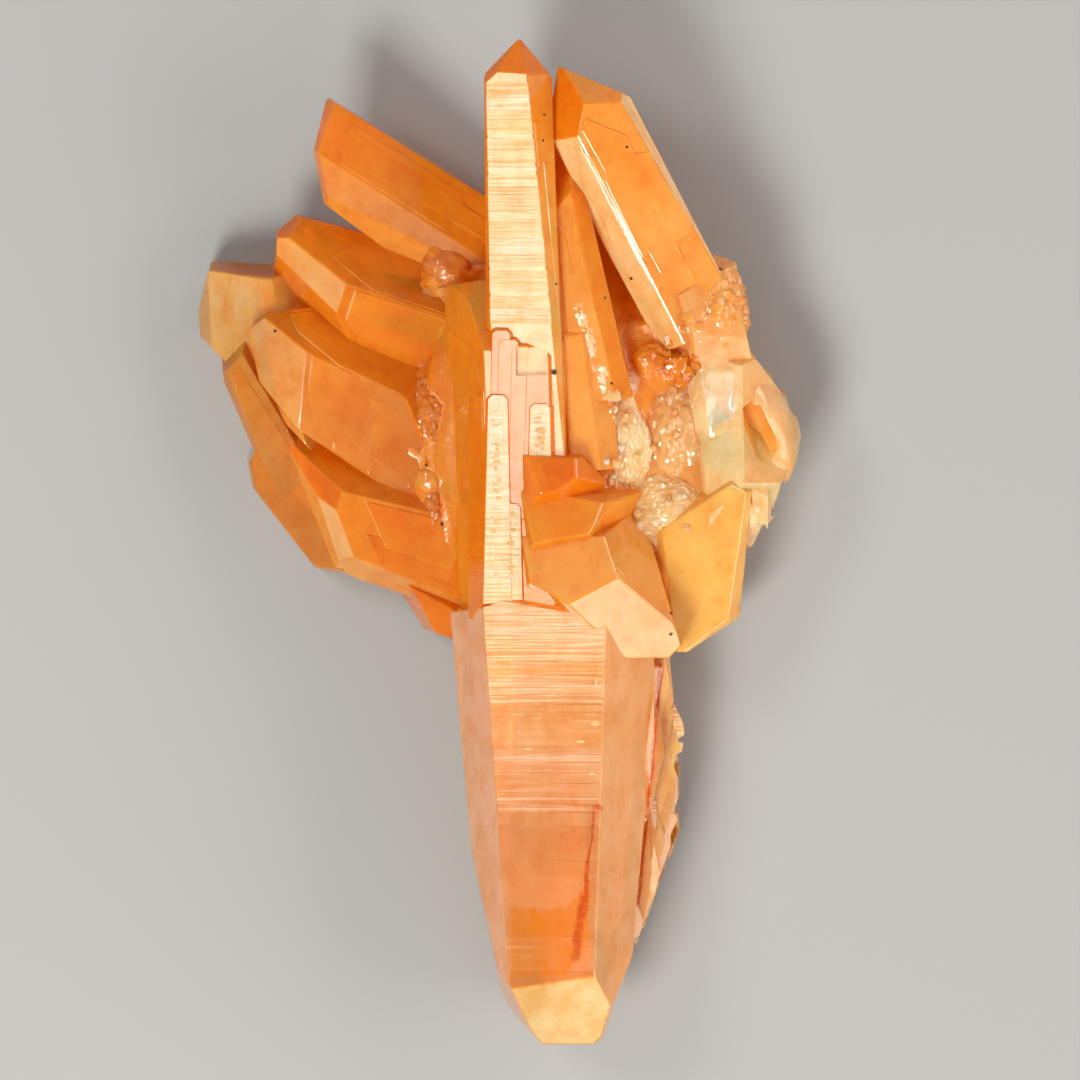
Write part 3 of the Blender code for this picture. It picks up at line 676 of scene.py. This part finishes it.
def tree_of(parts):
    """All the growths' faces, for finding where a line meets them."""
    corners = []
    faces = []
    for thing in parts.objects:
        first = len(corners)
        corners.extend(vertex.co / MM for vertex in thing.data.vertices)
        faces.extend(tuple(first + corner for corner in face.vertices) for face in thing.data.polygons)
    return BVHTree.FromPolygons(corners, faces)


def surface_of(parts):
    """Finds the height of the growths at a place, seen from above."""
    tree = tree_of(parts)

    def height(x, y):
        hit = tree.ray_cast(Vector((x, y, 100.0)), Vector((0, 0, -1)))
        return hit[0].z if hit[0] else None

    return height


# Patches of fine rough growth: both ends of a strip, its half width, how many grains, their smallest and
# largest size, and their tones.
CRUSTS = [((13.2, 37.6), (16.0, 28.0), 0.7, 44, (0.2, 0.5), (CREAM, ICE, PEACH)),
          ((16.0, 28.0), (19.6, 19.0), 0.9, 44, (0.2, 0.55), (CREAM, ICE, PEACH)),
          ((24.0, 30.6), (31.0, 26.4), 2.4, 40, (0.35, 0.9), (TANGERINE, ORANGE, AMBER)),
          ((30.0, 33.0), (37.0, 41.0), 2.6, 30, (0.3, 0.7), (PEACH, APRICOT, APRICOT)),
          ((-9.5, 46.0), (-10.5, 40.0), 1.4, 8, (0.3, 0.7), (SAND, TANGERINE, APRICOT))]


def crusts(parts):
    """Rough growth beside the blade, in the pocket and above the clump: grains, and a tiny point in every
    six."""
    height = surface_of(parts)
    chance = random.Random(23)
    for number, (first, last, half_width, count, (small, large), tones) in enumerate(CRUSTS):
        start = Vector(first)
        way = Vector(last) - start
        side = Vector((-way.y, way.x)).normalized()
        for place in range(count):
            spot = start + way * chance.random() + side * chance.gauss(0.0, half_width * 0.5)
            z = height(spot.x, spot.y)
            size = chance.uniform(small, large)
            look = Look(chance.choice(tones), rough=0.2)
            spin = chance.uniform(0, 90)
            bearing = chance.uniform(0, 360)
            lean = chance.uniform(35, 85)
            if z is None:
                continue
            if place % 6 > 0:
                radii = (size * chance.uniform(0.8, 1.6), size * chance.uniform(0.8, 1.6), size * 0.36)
                broken_lump(f"crust_{number}_{place}", parts, look, (spot.x, spot.y, z - 0.12 * size), radii,
                            seed=900 + 131 * number + place, faces=9, turn=spin)
            else:
                small_point(f"crust_{number}_{place}", parts, look, (spot.x, spot.y, z - 0.2),
                            (bearing, lean), size * 0.55, size * 0.9, spin, buried=0.5)


def splinters(parts):
    """Long thin slivers side by side, down the broken right side of the main crystal."""
    height = surface_of(parts)
    chance = random.Random(37)
    for number in range(12):
        y = chance.uniform(-56.0, -26.0)
        x = 25.2 + 0.09 * (y + 40.0) + chance.uniform(-1.8, 1.8)
        z = height(x, y)
        if z is not None:
            radii = (chance.uniform(0.9, 1.8), chance.uniform(5.0, 10.0), chance.uniform(0.4, 0.8))
            look = Look(chance.choice((PEACH, GREY_PEACH, GREY_TAN)), rough=0.1)
            broken_lump(f"splinter_{number}", parts, look, (x, y, z - 0.3), radii, seed=3100 + number,
                        faces=9, turn=chance.uniform(-7, -2))


# Painted glints on the lower body's front, small cream flecks that stand in for reflections: place, width and
# length.
PAINTED_GLINTS = [(15.7, -28.9, 0.7, 0.45), (15.8, -22.1, 0.25, 0.7), (15.2, -36.9, 0.6, 0.2),
          (1.6, -19.3, 1.5, 0.14), (2.0, -10.4, 2.0, 0.2), (3.4, -11.6, 1.6, 0.15), (0.6, -15.8, 0.9, 0.14),
          (6.1, -28.1, 1.5, 0.14), (3.6, -27.6, 1.0, 0.14), (8.4, -24.4, 1.4, 0.13), (11.0, -19.0, 1.2, 0.15),
          (5.0, -33.0, 0.8, 0.14), (13.4, -31.8, 0.7, 0.16), (7.0, -14.2, 1.6, 0.14)]

# Dark specks on the stone: place and radius.
SPECKS = [(9.2, 26.8, 0.42), (20.7, 62.5, 0.22), (19.5, 42.6, 0.24), (21.5, 41.8, 0.26), (17.3, 38.6, 0.2),
          (9.5, 40.8, 0.2), (18.3, 25.0, 0.22), (7.6, 67.6, 0.2), (7.4, 63.5, 0.2), (-35.3, 33.5, 0.24),
          (27.7, -11.5, 0.26), (27.7, -14.7, 0.3), (-11.2, 12.1, 0.22), (-8.7, 2.7, 0.3), (35.6, 43.2, 0.26)]


def flat_flecks(parts, name, rows, look, thickness, seed):
    """Small flat flecks that lie on the surface, each in one tone; the painted glints and the dark specks are
    both made this way.
    """
    height = surface_of(parts)
    for number, (x, y, *radii) in enumerate(rows):
        z = height(x, y)
        if z is not None:
            broken_lump(f"{name}_{number}", parts, look, (x, y, z), (radii[0], radii[-1], thickness),
                        seed=seed + number)


def specks(parts):
    """The painted glints, cream flecks that stand in for small reflections, and the dark specks."""
    # Painted highlights: cream flecks where the lower front shows small glints.
    flat_flecks(parts, "glint", PAINTED_GLINTS, Look(CREAM, rough=0.2), 0.12, 4100)
    flat_flecks(parts, "speck", SPECKS, Look(SOOT, rough=0.8), 0.16, 700)


# Where the outline is nicked: both ends of the stretch, its height, how many nicks and how deep they go.
NICKED = [((30.0, -24.0), (30.0, -40.0), 12.0, 3, 0.6), ((30.0, -40.0), (22.0, -66.0), 11.0, 6, 0.9),
          ((21.0, -66.0), (17.0, -78.0), 9.0, 4, 0.6), ((40.0, 45.0), (49.0, 20.0), 13.0, 5, 0.6),
          ((48.0, 18.0), (41.0, -2.0), 12.0, 6, 0.9), ((40.0, -3.0), (38.0, -13.0), 13.0, 5, 0.5)]
OUTLINE_MIDDLE = Vector((7.0, 5.0))


def nicks(parts, cutters):
    """Small breaks along the outline."""
    tree = tree_of(parts)
    chance = random.Random(29)
    for number, (first, last, z, count, deep) in enumerate(NICKED):
        start = Vector(first)
        way = Vector(last) - start
        outward = Vector((way.y, -way.x)).normalized()
        if outward.dot(start + way / 2 - OUTLINE_MIDDLE) < 0:
            outward = -outward
        for place in range(count):
            spot = start + way * ((place + chance.uniform(0.1, 0.9)) / count)
            level = z + chance.uniform(-3, 3)
            far = spot + outward * 30
            hit = tree.ray_cast(Vector((*far, level)), Vector((*-outward, 0)))
            radii = (deep * chance.uniform(0.5, 1.1), deep * chance.uniform(2.0, 5.0),
                     chance.uniform(3.0, 7.0))
            if hit[0] and (hit[0].xy - spot).length < 6:
                look = Look(chance.choice((CREAM, PEACH, APRICOT)), rough=0.2)
                broken_lump(f"nick_{number}_{place}", cutters, look, hit[0], radii,
                            seed=1700 + 37 * number + place, faces=11,
                            turn=math.degrees(math.atan2(way.y, way.x)) - 90)


# Crystals on the side that the cluster lies on: root, axis, radius, length and turn.
BACK_CRYSTALS = [((21.0, 36.0, 8.5), (112, 2), 5.2, 27.0, 10), ((28.0, 34.0, 5.6), (98, -1), 4.4, 17.0, 42),
                 ((5.0, 40.0, 7.6), (91, 3), 5.0, 24.0, 5), ((-14.0, 30.0, 4.6), (165, 1), 4.2, 21.0, 20),
                 ((-16.0, 12.0, 4.0), (188, 0), 3.6, 16.0, 50), ((33.0, 14.0, 5.0), (-64, 1), 4.6, 17.0, 30),
                 ((20.6, -5.0, 5.4), (-80, 0), 4.2, 13.0, 20)]


def back_crystals(parts):
    """The crystals underneath. They are seen only from low down."""
    for number, row in enumerate(BACK_CRYSTALS):
        small_point(f"back_{number}", parts, Look(APRICOT, ORANGE), *row)


def matrix_rock(parts):
    """The rock that the crystals stand in, and the rough growth in the seams between them."""
    rock = Look(TANGERINE, rough=0.8)
    lump("core", parts, rock, (2.0, 18.0, 10.5), (16.0, 27.0, 9.0), 1)
    lump("left_core", parts, rock, (-9.6, 14.4, 8.2), (8.4, 14.0, 7.2), 2)
    lump("seam_core", parts, rock, (-7.0, 41.0, 9.0), (6.0, 5.0, 7.0), 4)
    lump("right_core", parts, rock, (24.0, 22.0, 11.5), (14.0, 20.0, 10.0), 3)
    lump("left_knob", parts, Look(APRICOT, rough=0.4), (-10.6, 9.7, 14.0), (2.4, 2.4, 2.2), 5, 0.08)
    lump("right_knob", parts, Look(PINK, rough=0.4), (20.8, 24.9, 20.5), (2.2, 2.4, 2.6), 6, 0.08)
    broken_lump("rear_seam_rock", parts, rock, (17.4, -8.6, 6.0), (4.2, 5.0, 4.6), 21, 16)
    broken_lump("rear_left_rock", parts, rock, (-4.0, 2.0, 6.4), (6.5, 9.0, 6.2), 22, 18)
    broken_lump("rear_right_rock", parts, rock, (23.0, 12.0, 7.6), (10.5, 12.5, 7.4), 23, 20)
    seam = Look(SAND, rough=0.5)
    sugar("left_seam_rock", parts, seam, (-10.2, 20.0, 11.6), (4.2, 7.4, 4.6), 18, 1.5)
    sugar("left_low_seam_rock", parts, seam, (-9.4, 5.0, 11.2), (3.6, 6.8, 4.6), 25, 1.3)
    lump("left_top_rock", parts, seam, (-8.0, 43.4, 12.0), (4.2, 3.6, 3.8), 19, 0.14, 0.5)


def chips(cutters):
    """The level cut where the cluster rests, the small square pit, and breaks in the main crystal's edges."""
    fresh = Look(CREAM, rough=0.2)
    floor_block = bmesh.new()
    bmesh.ops.create_cube(floor_block, size=1.0)
    size = Matrix.Diagonal((BLOCK_SIZE, BLOCK_SIZE, FLOOR_BLOCK_DEPTH, 1.0))
    place = Matrix.Translation((0, 0, -FLOOR_BLOCK_DEPTH / 2))
    bmesh.ops.transform(floor_block, matrix=place @ size, verts=floor_block.verts)
    add_growth("floor_block", floor_block, cutters, Look(APRICOT, rough=0.8))
    chunk("square_pit", cutters, fresh, on_front(5.6, 28.5),
          [(0, 80, 2.6), (180, 80, 2.6), (90, 80, 2.2), (-90, 80, 2.4), (0, 0, 4.0), (*FRONT_BACK, -0.05)],
          wear=0.0)
    for number, (x, y, z, radii, turn) in enumerate(CHIPS):
        broken_lump(f"chip_{number}", cutters, fresh, (x, y, z), radii, seed=30 + number, turn=turn)


def new_collection(name):
    """A collection of its own for one kind of shape."""
    collection = bpy.data.collections.new(name)
    bpy.context.scene.collection.children.link(collection)
    return collection


def drop_crumbs(mesh):
    """Keeps the largest connected body alone."""
    bm = bmesh.new()
    bm.from_mesh(mesh)
    waiting = set(bm.verts)
    bodies = []
    while waiting:
        body = set()
        edge = [next(iter(waiting))]
        while edge:
            vertex = edge.pop()
            if vertex not in body:
                body.add(vertex)
                edge.extend(link.other_vert(vertex) for link in vertex.link_edges)
        waiting -= body
        bodies.append(body)
    largest = max(bodies, key=len)
    bmesh.ops.delete(bm, geom=[vertex for vertex in bm.verts if vertex not in largest], context="VERTS")
    bm.to_mesh(mesh)
    bm.free()


def join_all(parts, cutters):
    """One solid from all the crystals, cut off level where it rests."""
    base = list(parts.objects)[0]
    parts.objects.unlink(base)
    bpy.context.scene.collection.objects.link(base)
    for operation, others in (("UNION", parts), ("DIFFERENCE", cutters)):
        change = base.modifiers.new(operation.lower(), "BOOLEAN")
        change.operation = operation
        change.solver = "MANIFOLD"
        change.operand_type = "COLLECTION"
        change.collection = others
    ready = bpy.context.evaluated_depsgraph_get()
    mesh = bpy.data.meshes.new_from_object(base.evaluated_get(ready))
    mesh.name = "quartz_cluster_stone"
    drop_crumbs(mesh)
    for collection in (parts, cutters):
        for thing in list(collection.objects):
            bpy.data.objects.remove(thing, do_unlink=True)
        bpy.data.collections.remove(collection)
    bpy.data.objects.remove(base, do_unlink=True)
    stone = bpy.data.objects.new("quartz_cluster_stone", mesh)
    bpy.context.scene.collection.objects.link(stone)
    return stone


def grow():
    """Makes every growth and break, and joins them."""
    parts = new_collection("growths")
    cutters = new_collection("breaks")
    main_crystal(parts)
    left_fan(parts)
    right_group(parts)
    clump(parts, cutters)
    rock_right(parts)
    scoops(cutters)
    druse(parts)
    back_crystals(parts)
    matrix_rock(parts)
    splinters(parts)
    crusts(parts)
    specks(parts)
    chips(cutters)
    nicks(parts, cutters)
    return join_all(parts, cutters)


def is_vector(value):
    """Whether a value or a node's output has three parts or more."""
    if isinstance(value, Signal):
        return value.socket.type != "VALUE"
    return isinstance(value, (tuple, list, Vector))


class Signal:
    """A value, vector or colour inside a material, with arithmetic on it."""

    def __init__(self, recipe, socket):
        self.recipe = recipe
        self.socket = socket

    def __add__(self, other):
        return self.recipe.maths("ADD", self, other)

    __radd__ = __add__

    def __sub__(self, other):
        return self.recipe.maths("SUBTRACT", self, other)

    def __rsub__(self, other):
        return self.recipe.maths("SUBTRACT", other, self)

    def __mul__(self, other):
        return self.recipe.maths("MULTIPLY", self, other)

    __rmul__ = __mul__

    def largest(self, other):
        return self.recipe.maths("MAXIMUM", self, other)

    def size(self):
        return self.recipe.maths("ABSOLUTE", self)

    def range(self, low, high, new_low=0.0, new_high=1.0, smooth=True):
        """Stretches the values from low to high over new_low to new_high."""
        kind = "SMOOTHSTEP" if smooth else "LINEAR"
        return self.recipe.node("ShaderNodeMapRange", {"interpolation_type": kind, "clamp": True},
                                {"Value": self, "From Min": low, "From Max": high, "To Min": new_low,
                                 "To Max": new_high})


class Recipe:
    """One material's nodes."""

    def __init__(self, name):
        self.material = bpy.data.materials.new(name)
        self.material.use_nodes = True
        self.tree = self.material.node_tree
        self.tree.nodes.clear()

    def give(self, socket, value):
        """Links a signal to a socket, or sets the socket to a number, vector or colour."""
        if isinstance(value, Signal):
            self.tree.links.new(value.socket, socket)
        elif is_vector(value):
            size = len(socket.default_value)
            filled = tuple(value) + (1.0,) * (size - len(value))
            socket.default_value = filled[:size]
        else:
            socket.default_value = value

    def node(self, kind, settings, inputs, output=0):
        """Adds a node of any type, with its settings first and then its sockets' values or links."""
        made = self.tree.nodes.new(kind)
        for name, value in settings.items():
            setattr(made, name, value)
        for name, value in inputs.items():
            self.give(made.inputs[name], value)
        return Signal(self, made.outputs[output])

    def maths(self, operation, first, second=None):
        """Arithmetic on numbers, or on vectors and colours when either is one."""
        inputs = {0: first} if second is None else {0: first, 1: second}
        if not is_vector(first) and not is_vector(second):
            return self.node("ShaderNodeMath", {"operation": operation}, inputs)
        if operation == "MULTIPLY" and isinstance(second, (int, float)):
            return self.node("ShaderNodeVectorMath", {"operation": "SCALE"}, {0: first, "Scale": second})
        return self.node("ShaderNodeVectorMath", {"operation": operation}, inputs)

    def split(self, vector):
        """The three parts of a vector."""
        node = self.tree.nodes.new("ShaderNodeSeparateXYZ")
        self.give(node.inputs[0], vector)
        return [Signal(self, socket) for socket in node.outputs]

    def join(self, x, y, z):
        return self.node("ShaderNodeCombineXYZ", {}, {"X": x, "Y": y, "Z": z})

    def mix(self, share, first, second):
        """Colour that goes from first to second as share goes from 0 to 1."""
        return self.node("ShaderNodeMix", {"data_type": "RGBA", "blend_type": "MIX", "clamp_factor": True},
                         {0: share, 6: first, 7: second}, output=2)

    def noise(self, vector, scale, detail, roughness):
        return self.node("ShaderNodeTexNoise", {"noise_dimensions": "3D"},
                         {"Vector": vector, "Scale": scale, "Detail": detail, "Roughness": roughness})

    def finish(self, shader, volume=None):
        """Joins the shader, and what fills the body, to the material's output."""
        out = self.tree.nodes.new("ShaderNodeOutputMaterial")
        self.tree.links.new(shader.socket, out.inputs["Surface"])
        if volume:
            self.tree.links.new(volume.socket, out.inputs["Volume"])
        return self.material


# Iron stains that run down the stone: both ends and half the width.
STAIN_STREAKS = [((15.4, -42.0), (14.6, -52.0), 0.35), ((14.6, -50.5), (14.0, -60.0), 0.6),
                 ((14.1, -56.0), (12.4, -66.6), 1.0), ((26.2, -19.5), (24.6, -38.0), 0.45),
                 ((24.8, -36.0), (22.6, -58.0), 0.4)]
STAIN_BLOT = (16.2, -42.2)
STAIN_BLOT_RADIUS = 0.8

# The amber patch near the main crystal's broken end: its reach either way, and where its top edge bends and
# how steeply it rises.
PATCH_ACROSS = (2.4, 14.8)
PATCH_ALONG = (-68.8, -58.6)
PATCH_BEND = 10.8
PATCH_SLOPE = 1.15

# The orange haze above the patch: its sides, and where it comes in at the top and ends at the foot.
HAZE_ACROSS = (2.4, 15.2)
HAZE_TOP = (-45.0, -60.0)
HAZE_FOOT = (-70.0, -68.5)

# How clouds, clear places, lines of growth and broken surface change the stone's own colour.
MILKY = Vector((1.05, 1.18, 1.55))
CLEAR = Vector((0.95, 0.74, 0.42))
LINE_DARK = Vector((0.95, 0.84, 0.68))
VEIL_PALE = Vector((1.05, 1.14, 1.3))
VEIL_DEEP = Vector((0.92, 0.8, 0.62))
BROKEN_PALE = Vector((1.08, 1.12, 1.2))

# How strongly quartz bends light, what this stone does to light that passes through it, and how far light
# spreads under its surface, in metres.
QUARTZ_IOR = 1.544
STONE_ABSORPTION = (1.0, 0.72, 0.4)
ABSORPTION_DENSITY = 30.0
GLOW_REACH = 0.006


def inside(value, low, high, soft):
    """1 where value lies between low and high, fading to 0 over soft beyond them."""
    return value.range(low - soft, low + soft) * value.range(high + soft, high - soft)


def blot(r, x, y, wander, middle, radius):
    """A stain with a wandering edge round one place."""
    off = r.node("ShaderNodeVectorMath", {"operation": "LENGTH"},
                 {0: r.join(x - middle[0], y - middle[1], 0.0)}, "Value")
    return (off + wander * 0.3).range(radius, radius * 0.4)


def streak(x, y, wander, first, last, half_width):
    """A stain along a line from first to last."""
    share = y.range(first[1], last[1], smooth=False)
    off = x - share * (last[0] - first[0]) - first[0] + wander * 0.22
    return off.size().range(half_width, half_width * 0.25) * inside(y, last[1], first[1], 0.5)


def stains(r, x, y, veil, hackle, stone):
    """The stone with its rusty streaks and the amber patch on the lower body's front."""
    wander = (veil - 0.5) * 6.0 + (hackle - 0.5) * 1.5
    stain = blot(r, x, y, wander, STAIN_BLOT, STAIN_BLOT_RADIUS)
    for first, last, half_width in STAIN_STREAKS:
        stain = stain.largest(streak(x, y, wander, first, last, half_width))
    slant = (x - PATCH_BEND).largest(0.0) * PATCH_SLOPE
    patch = inside(x + wander * 0.3, *PATCH_ACROSS, 0.5) * inside(y - slant + wander * 0.5, *PATCH_ALONG, 0.5)
    haze = inside(x, *HAZE_ACROSS, 0.6) * y.range(*HAZE_TOP) * y.range(*HAZE_FOOT) * 0.3
    stone = r.mix(haze, stone, ORANGE)
    stone = r.mix(patch * veil.range(0.3, 0.55, 1.0, 0.65), stone, AMBER)
    return r.mix(stain * hackle.range(0.3, 0.55, 0.55, 1.0), stone, RUST)


def quartz():
    """The stone's material."""
    r = Recipe("tangerine quartz")
    tone = r.node("ShaderNodeAttribute", {"attribute_name": "stone_tone"}, {}, "Color")
    rough = r.node("ShaderNodeAttribute", {"attribute_name": "stone_tone"}, {}, "Alpha")
    grain = r.node("ShaderNodeAttribute", {"attribute_name": "grain"}, {}, "Color")
    here = r.node("ShaderNodeTexCoord", {}, {}, "Object") * (1.0 / MM)

    # Lines of growth that run round the crystal, straight and uneven in width. Some faces hardly have any.
    across, along, depth = r.split(grain)
    lines = r.noise(r.join(across * 0.035, along, depth * 0.035), 1.3, detail=1.5, roughness=0.8)
    lined = rough.range(0.03, 0.09, 0.15, 1.0) * rough.range(0.14, 0.18, 1.0, 0.1)

    # Broken surface, veils that cross from one crystal to the next, and clouds inside each crystal.
    hackle = r.noise(grain, 0.9, detail=1.5, roughness=0.8)
    veil = r.noise(here * Vector((1.0, 0.7, 1.0)), 0.34, detail=2.5, roughness=0.7)
    cloud = r.noise(grain, 0.075, detail=2.5, roughness=0.65)

    stone = r.mix(cloud.range(0.46, 0.68) * 0.35, tone, tone * MILKY)
    stone = r.mix(cloud.range(0.5, 0.34) * 0.55, stone, stone * CLEAR)
    stone = r.mix(lines.range(0.5, 0.62) * lined * 0.12, stone, stone * 1.2)
    stone = r.mix(lines.range(0.5, 0.38) * lined * 0.12, stone, stone * LINE_DARK)
    stone = r.mix(veil.range(0.52, 0.66) * 0.6, stone, stone * VEIL_PALE)
    stone = r.mix(veil.range(0.5, 0.36) * 0.65, stone, stone * VEIL_DEEP)
    stone = r.mix(hackle.range(0.55, 0.75) * 0.2, stone, stone * BROKEN_PALE)
    x, y = r.split(here)[:2]
    stone = stains(r, x, y, veil, hackle, stone)

    height = lines * lined * 0.9 + hackle * (rough * 1.8 + 0.03) + veil * 0.05
    bump = r.node("ShaderNodeBump", {}, {"Strength": 0.3, "Distance": 0.3 * MM, "Height": height})
    gloss = hackle.range(0.3, 0.75, 0.07, 0.12) + rough * 0.25
    shader = r.node("ShaderNodeBsdfPrincipled", {}, {
        "Base Color": stone, "Roughness": gloss, "IOR": QUARTZ_IOR, "Transmission Weight": 0.5,
        "Subsurface Weight": 0.4, "Subsurface Radius": (1.0, 0.5, 0.22), "Subsurface Scale": GLOW_REACH,
        "Normal": bump})
    absorb = r.node("ShaderNodeVolumeAbsorption", {},
                    {"Color": STONE_ABSORPTION, "Density": ABSORPTION_DENSITY})
    return r.finish(shader, absorb)


def floor_paint():
    """The floor's plain matt material."""
    r = Recipe("floor")
    return r.finish(r.node("ShaderNodeBsdfPrincipled", {}, {"Base Color": FLOOR_TONE, "Roughness": 0.7}))


def add_floor():
    """A plain pale floor, level with the underside of the cluster."""
    mesh = bpy.data.meshes.new("floor")
    corners = [(-FLOOR_HALF, -FLOOR_HALF, 0), (FLOOR_HALF, -FLOOR_HALF, 0), (FLOOR_HALF, FLOOR_HALF, 0),
               (-FLOOR_HALF, FLOOR_HALF, 0)]
    mesh.from_pydata(corners, [], [(0, 1, 2, 3)])
    floor = bpy.data.objects.new("floor", mesh)
    bpy.context.scene.collection.objects.link(floor)
    mesh.materials.append(floor_paint())


def soft_lamp(name, facing, tilt, distance, size, power, tint):
    """A square lamp that hangs in the given direction and looks at the cluster."""
    light = bpy.data.lights.new(name, "AREA")
    light.shape = "SQUARE"
    light.size = size
    light.energy = power
    light.color = tint
    lamp = bpy.data.objects.new(name, light)
    way = direction(facing, tilt)
    lamp.location = way * distance
    lamp.rotation_mode = "QUATERNION"
    lamp.rotation_quaternion = way.to_track_quat("Z", "Y")
    bpy.context.scene.collection.objects.link(lamp)


def set_surroundings():
    """Even pale light from all round."""
    world = bpy.data.worlds.new("soft surroundings")
    world.use_nodes = True
    background = world.node_tree.nodes["Background"]
    background.inputs["Color"].default_value = (*SURROUNDINGS_TONE, 1.0)
    background.inputs["Strength"].default_value = SURROUNDINGS_STRENGTH
    bpy.context.scene.world = world


def set_camera():
    """A camera that looks straight down on the cluster."""
    lens = bpy.data.cameras.new("camera")
    lens.sensor_width = 36.0
    lens.lens = CAMERA_LENS
    lens.clip_start = 0.05
    lens.clip_end = 20.0
    camera = bpy.data.objects.new("camera", lens)
    camera.location = CAMERA_PLACE
    bpy.context.scene.collection.objects.link(camera)
    bpy.context.scene.camera = camera
    bpy.context.scene.view_settings.view_transform = "Standard"


# The stage, in metres: the floor, what surrounds it, the camera, and the lamps with their facing, tilt,
# distance, size, power and tint.
FLOOR_HALF = 3
FLOOR_TONE = (0.29, 0.286, 0.28)
SURROUNDINGS_TONE = (0.95, 0.96, 1.0)
SURROUNDINGS_STRENGTH = 0.35
CAMERA_LENS = 414.4
CAMERA_PLACE = (6.94 * MM, 0.16 * MM, 2.0)
LAMPS = [("key lamp", 240, 38, 1.1, 0.36, 13.0, (0.96, 0.97, 0.91)),
         ("side lamp", 150, 38, 1.1, 0.3, 3.6, (1.0, 0.98, 0.95)),
         ("top lamp", 45, 60, 1.2, 0.5, 3.6, (1.0, 0.97, 0.92)),
         ("front face lamp", 194.0, 8.8, 1.113, 0.13, 0.4, (1.0, 0.95, 0.86)),
         ("fill lamp", -12, 64, 1.2, 0.8, 8.6, (1.0, 0.95, 0.88)),
         ("low lamp", -58, 74, 1.2, 0.7, 4.5, (0.95, 0.97, 1.0))]

stone = grow()
stone.data.materials.clear()
stone.data.materials.append(quartz())
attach(stone, "root")
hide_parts("quartz_cluster")

add_floor()
for lamp_row in LAMPS:
    soft_lamp(*lamp_row)
set_surroundings()
set_camera()
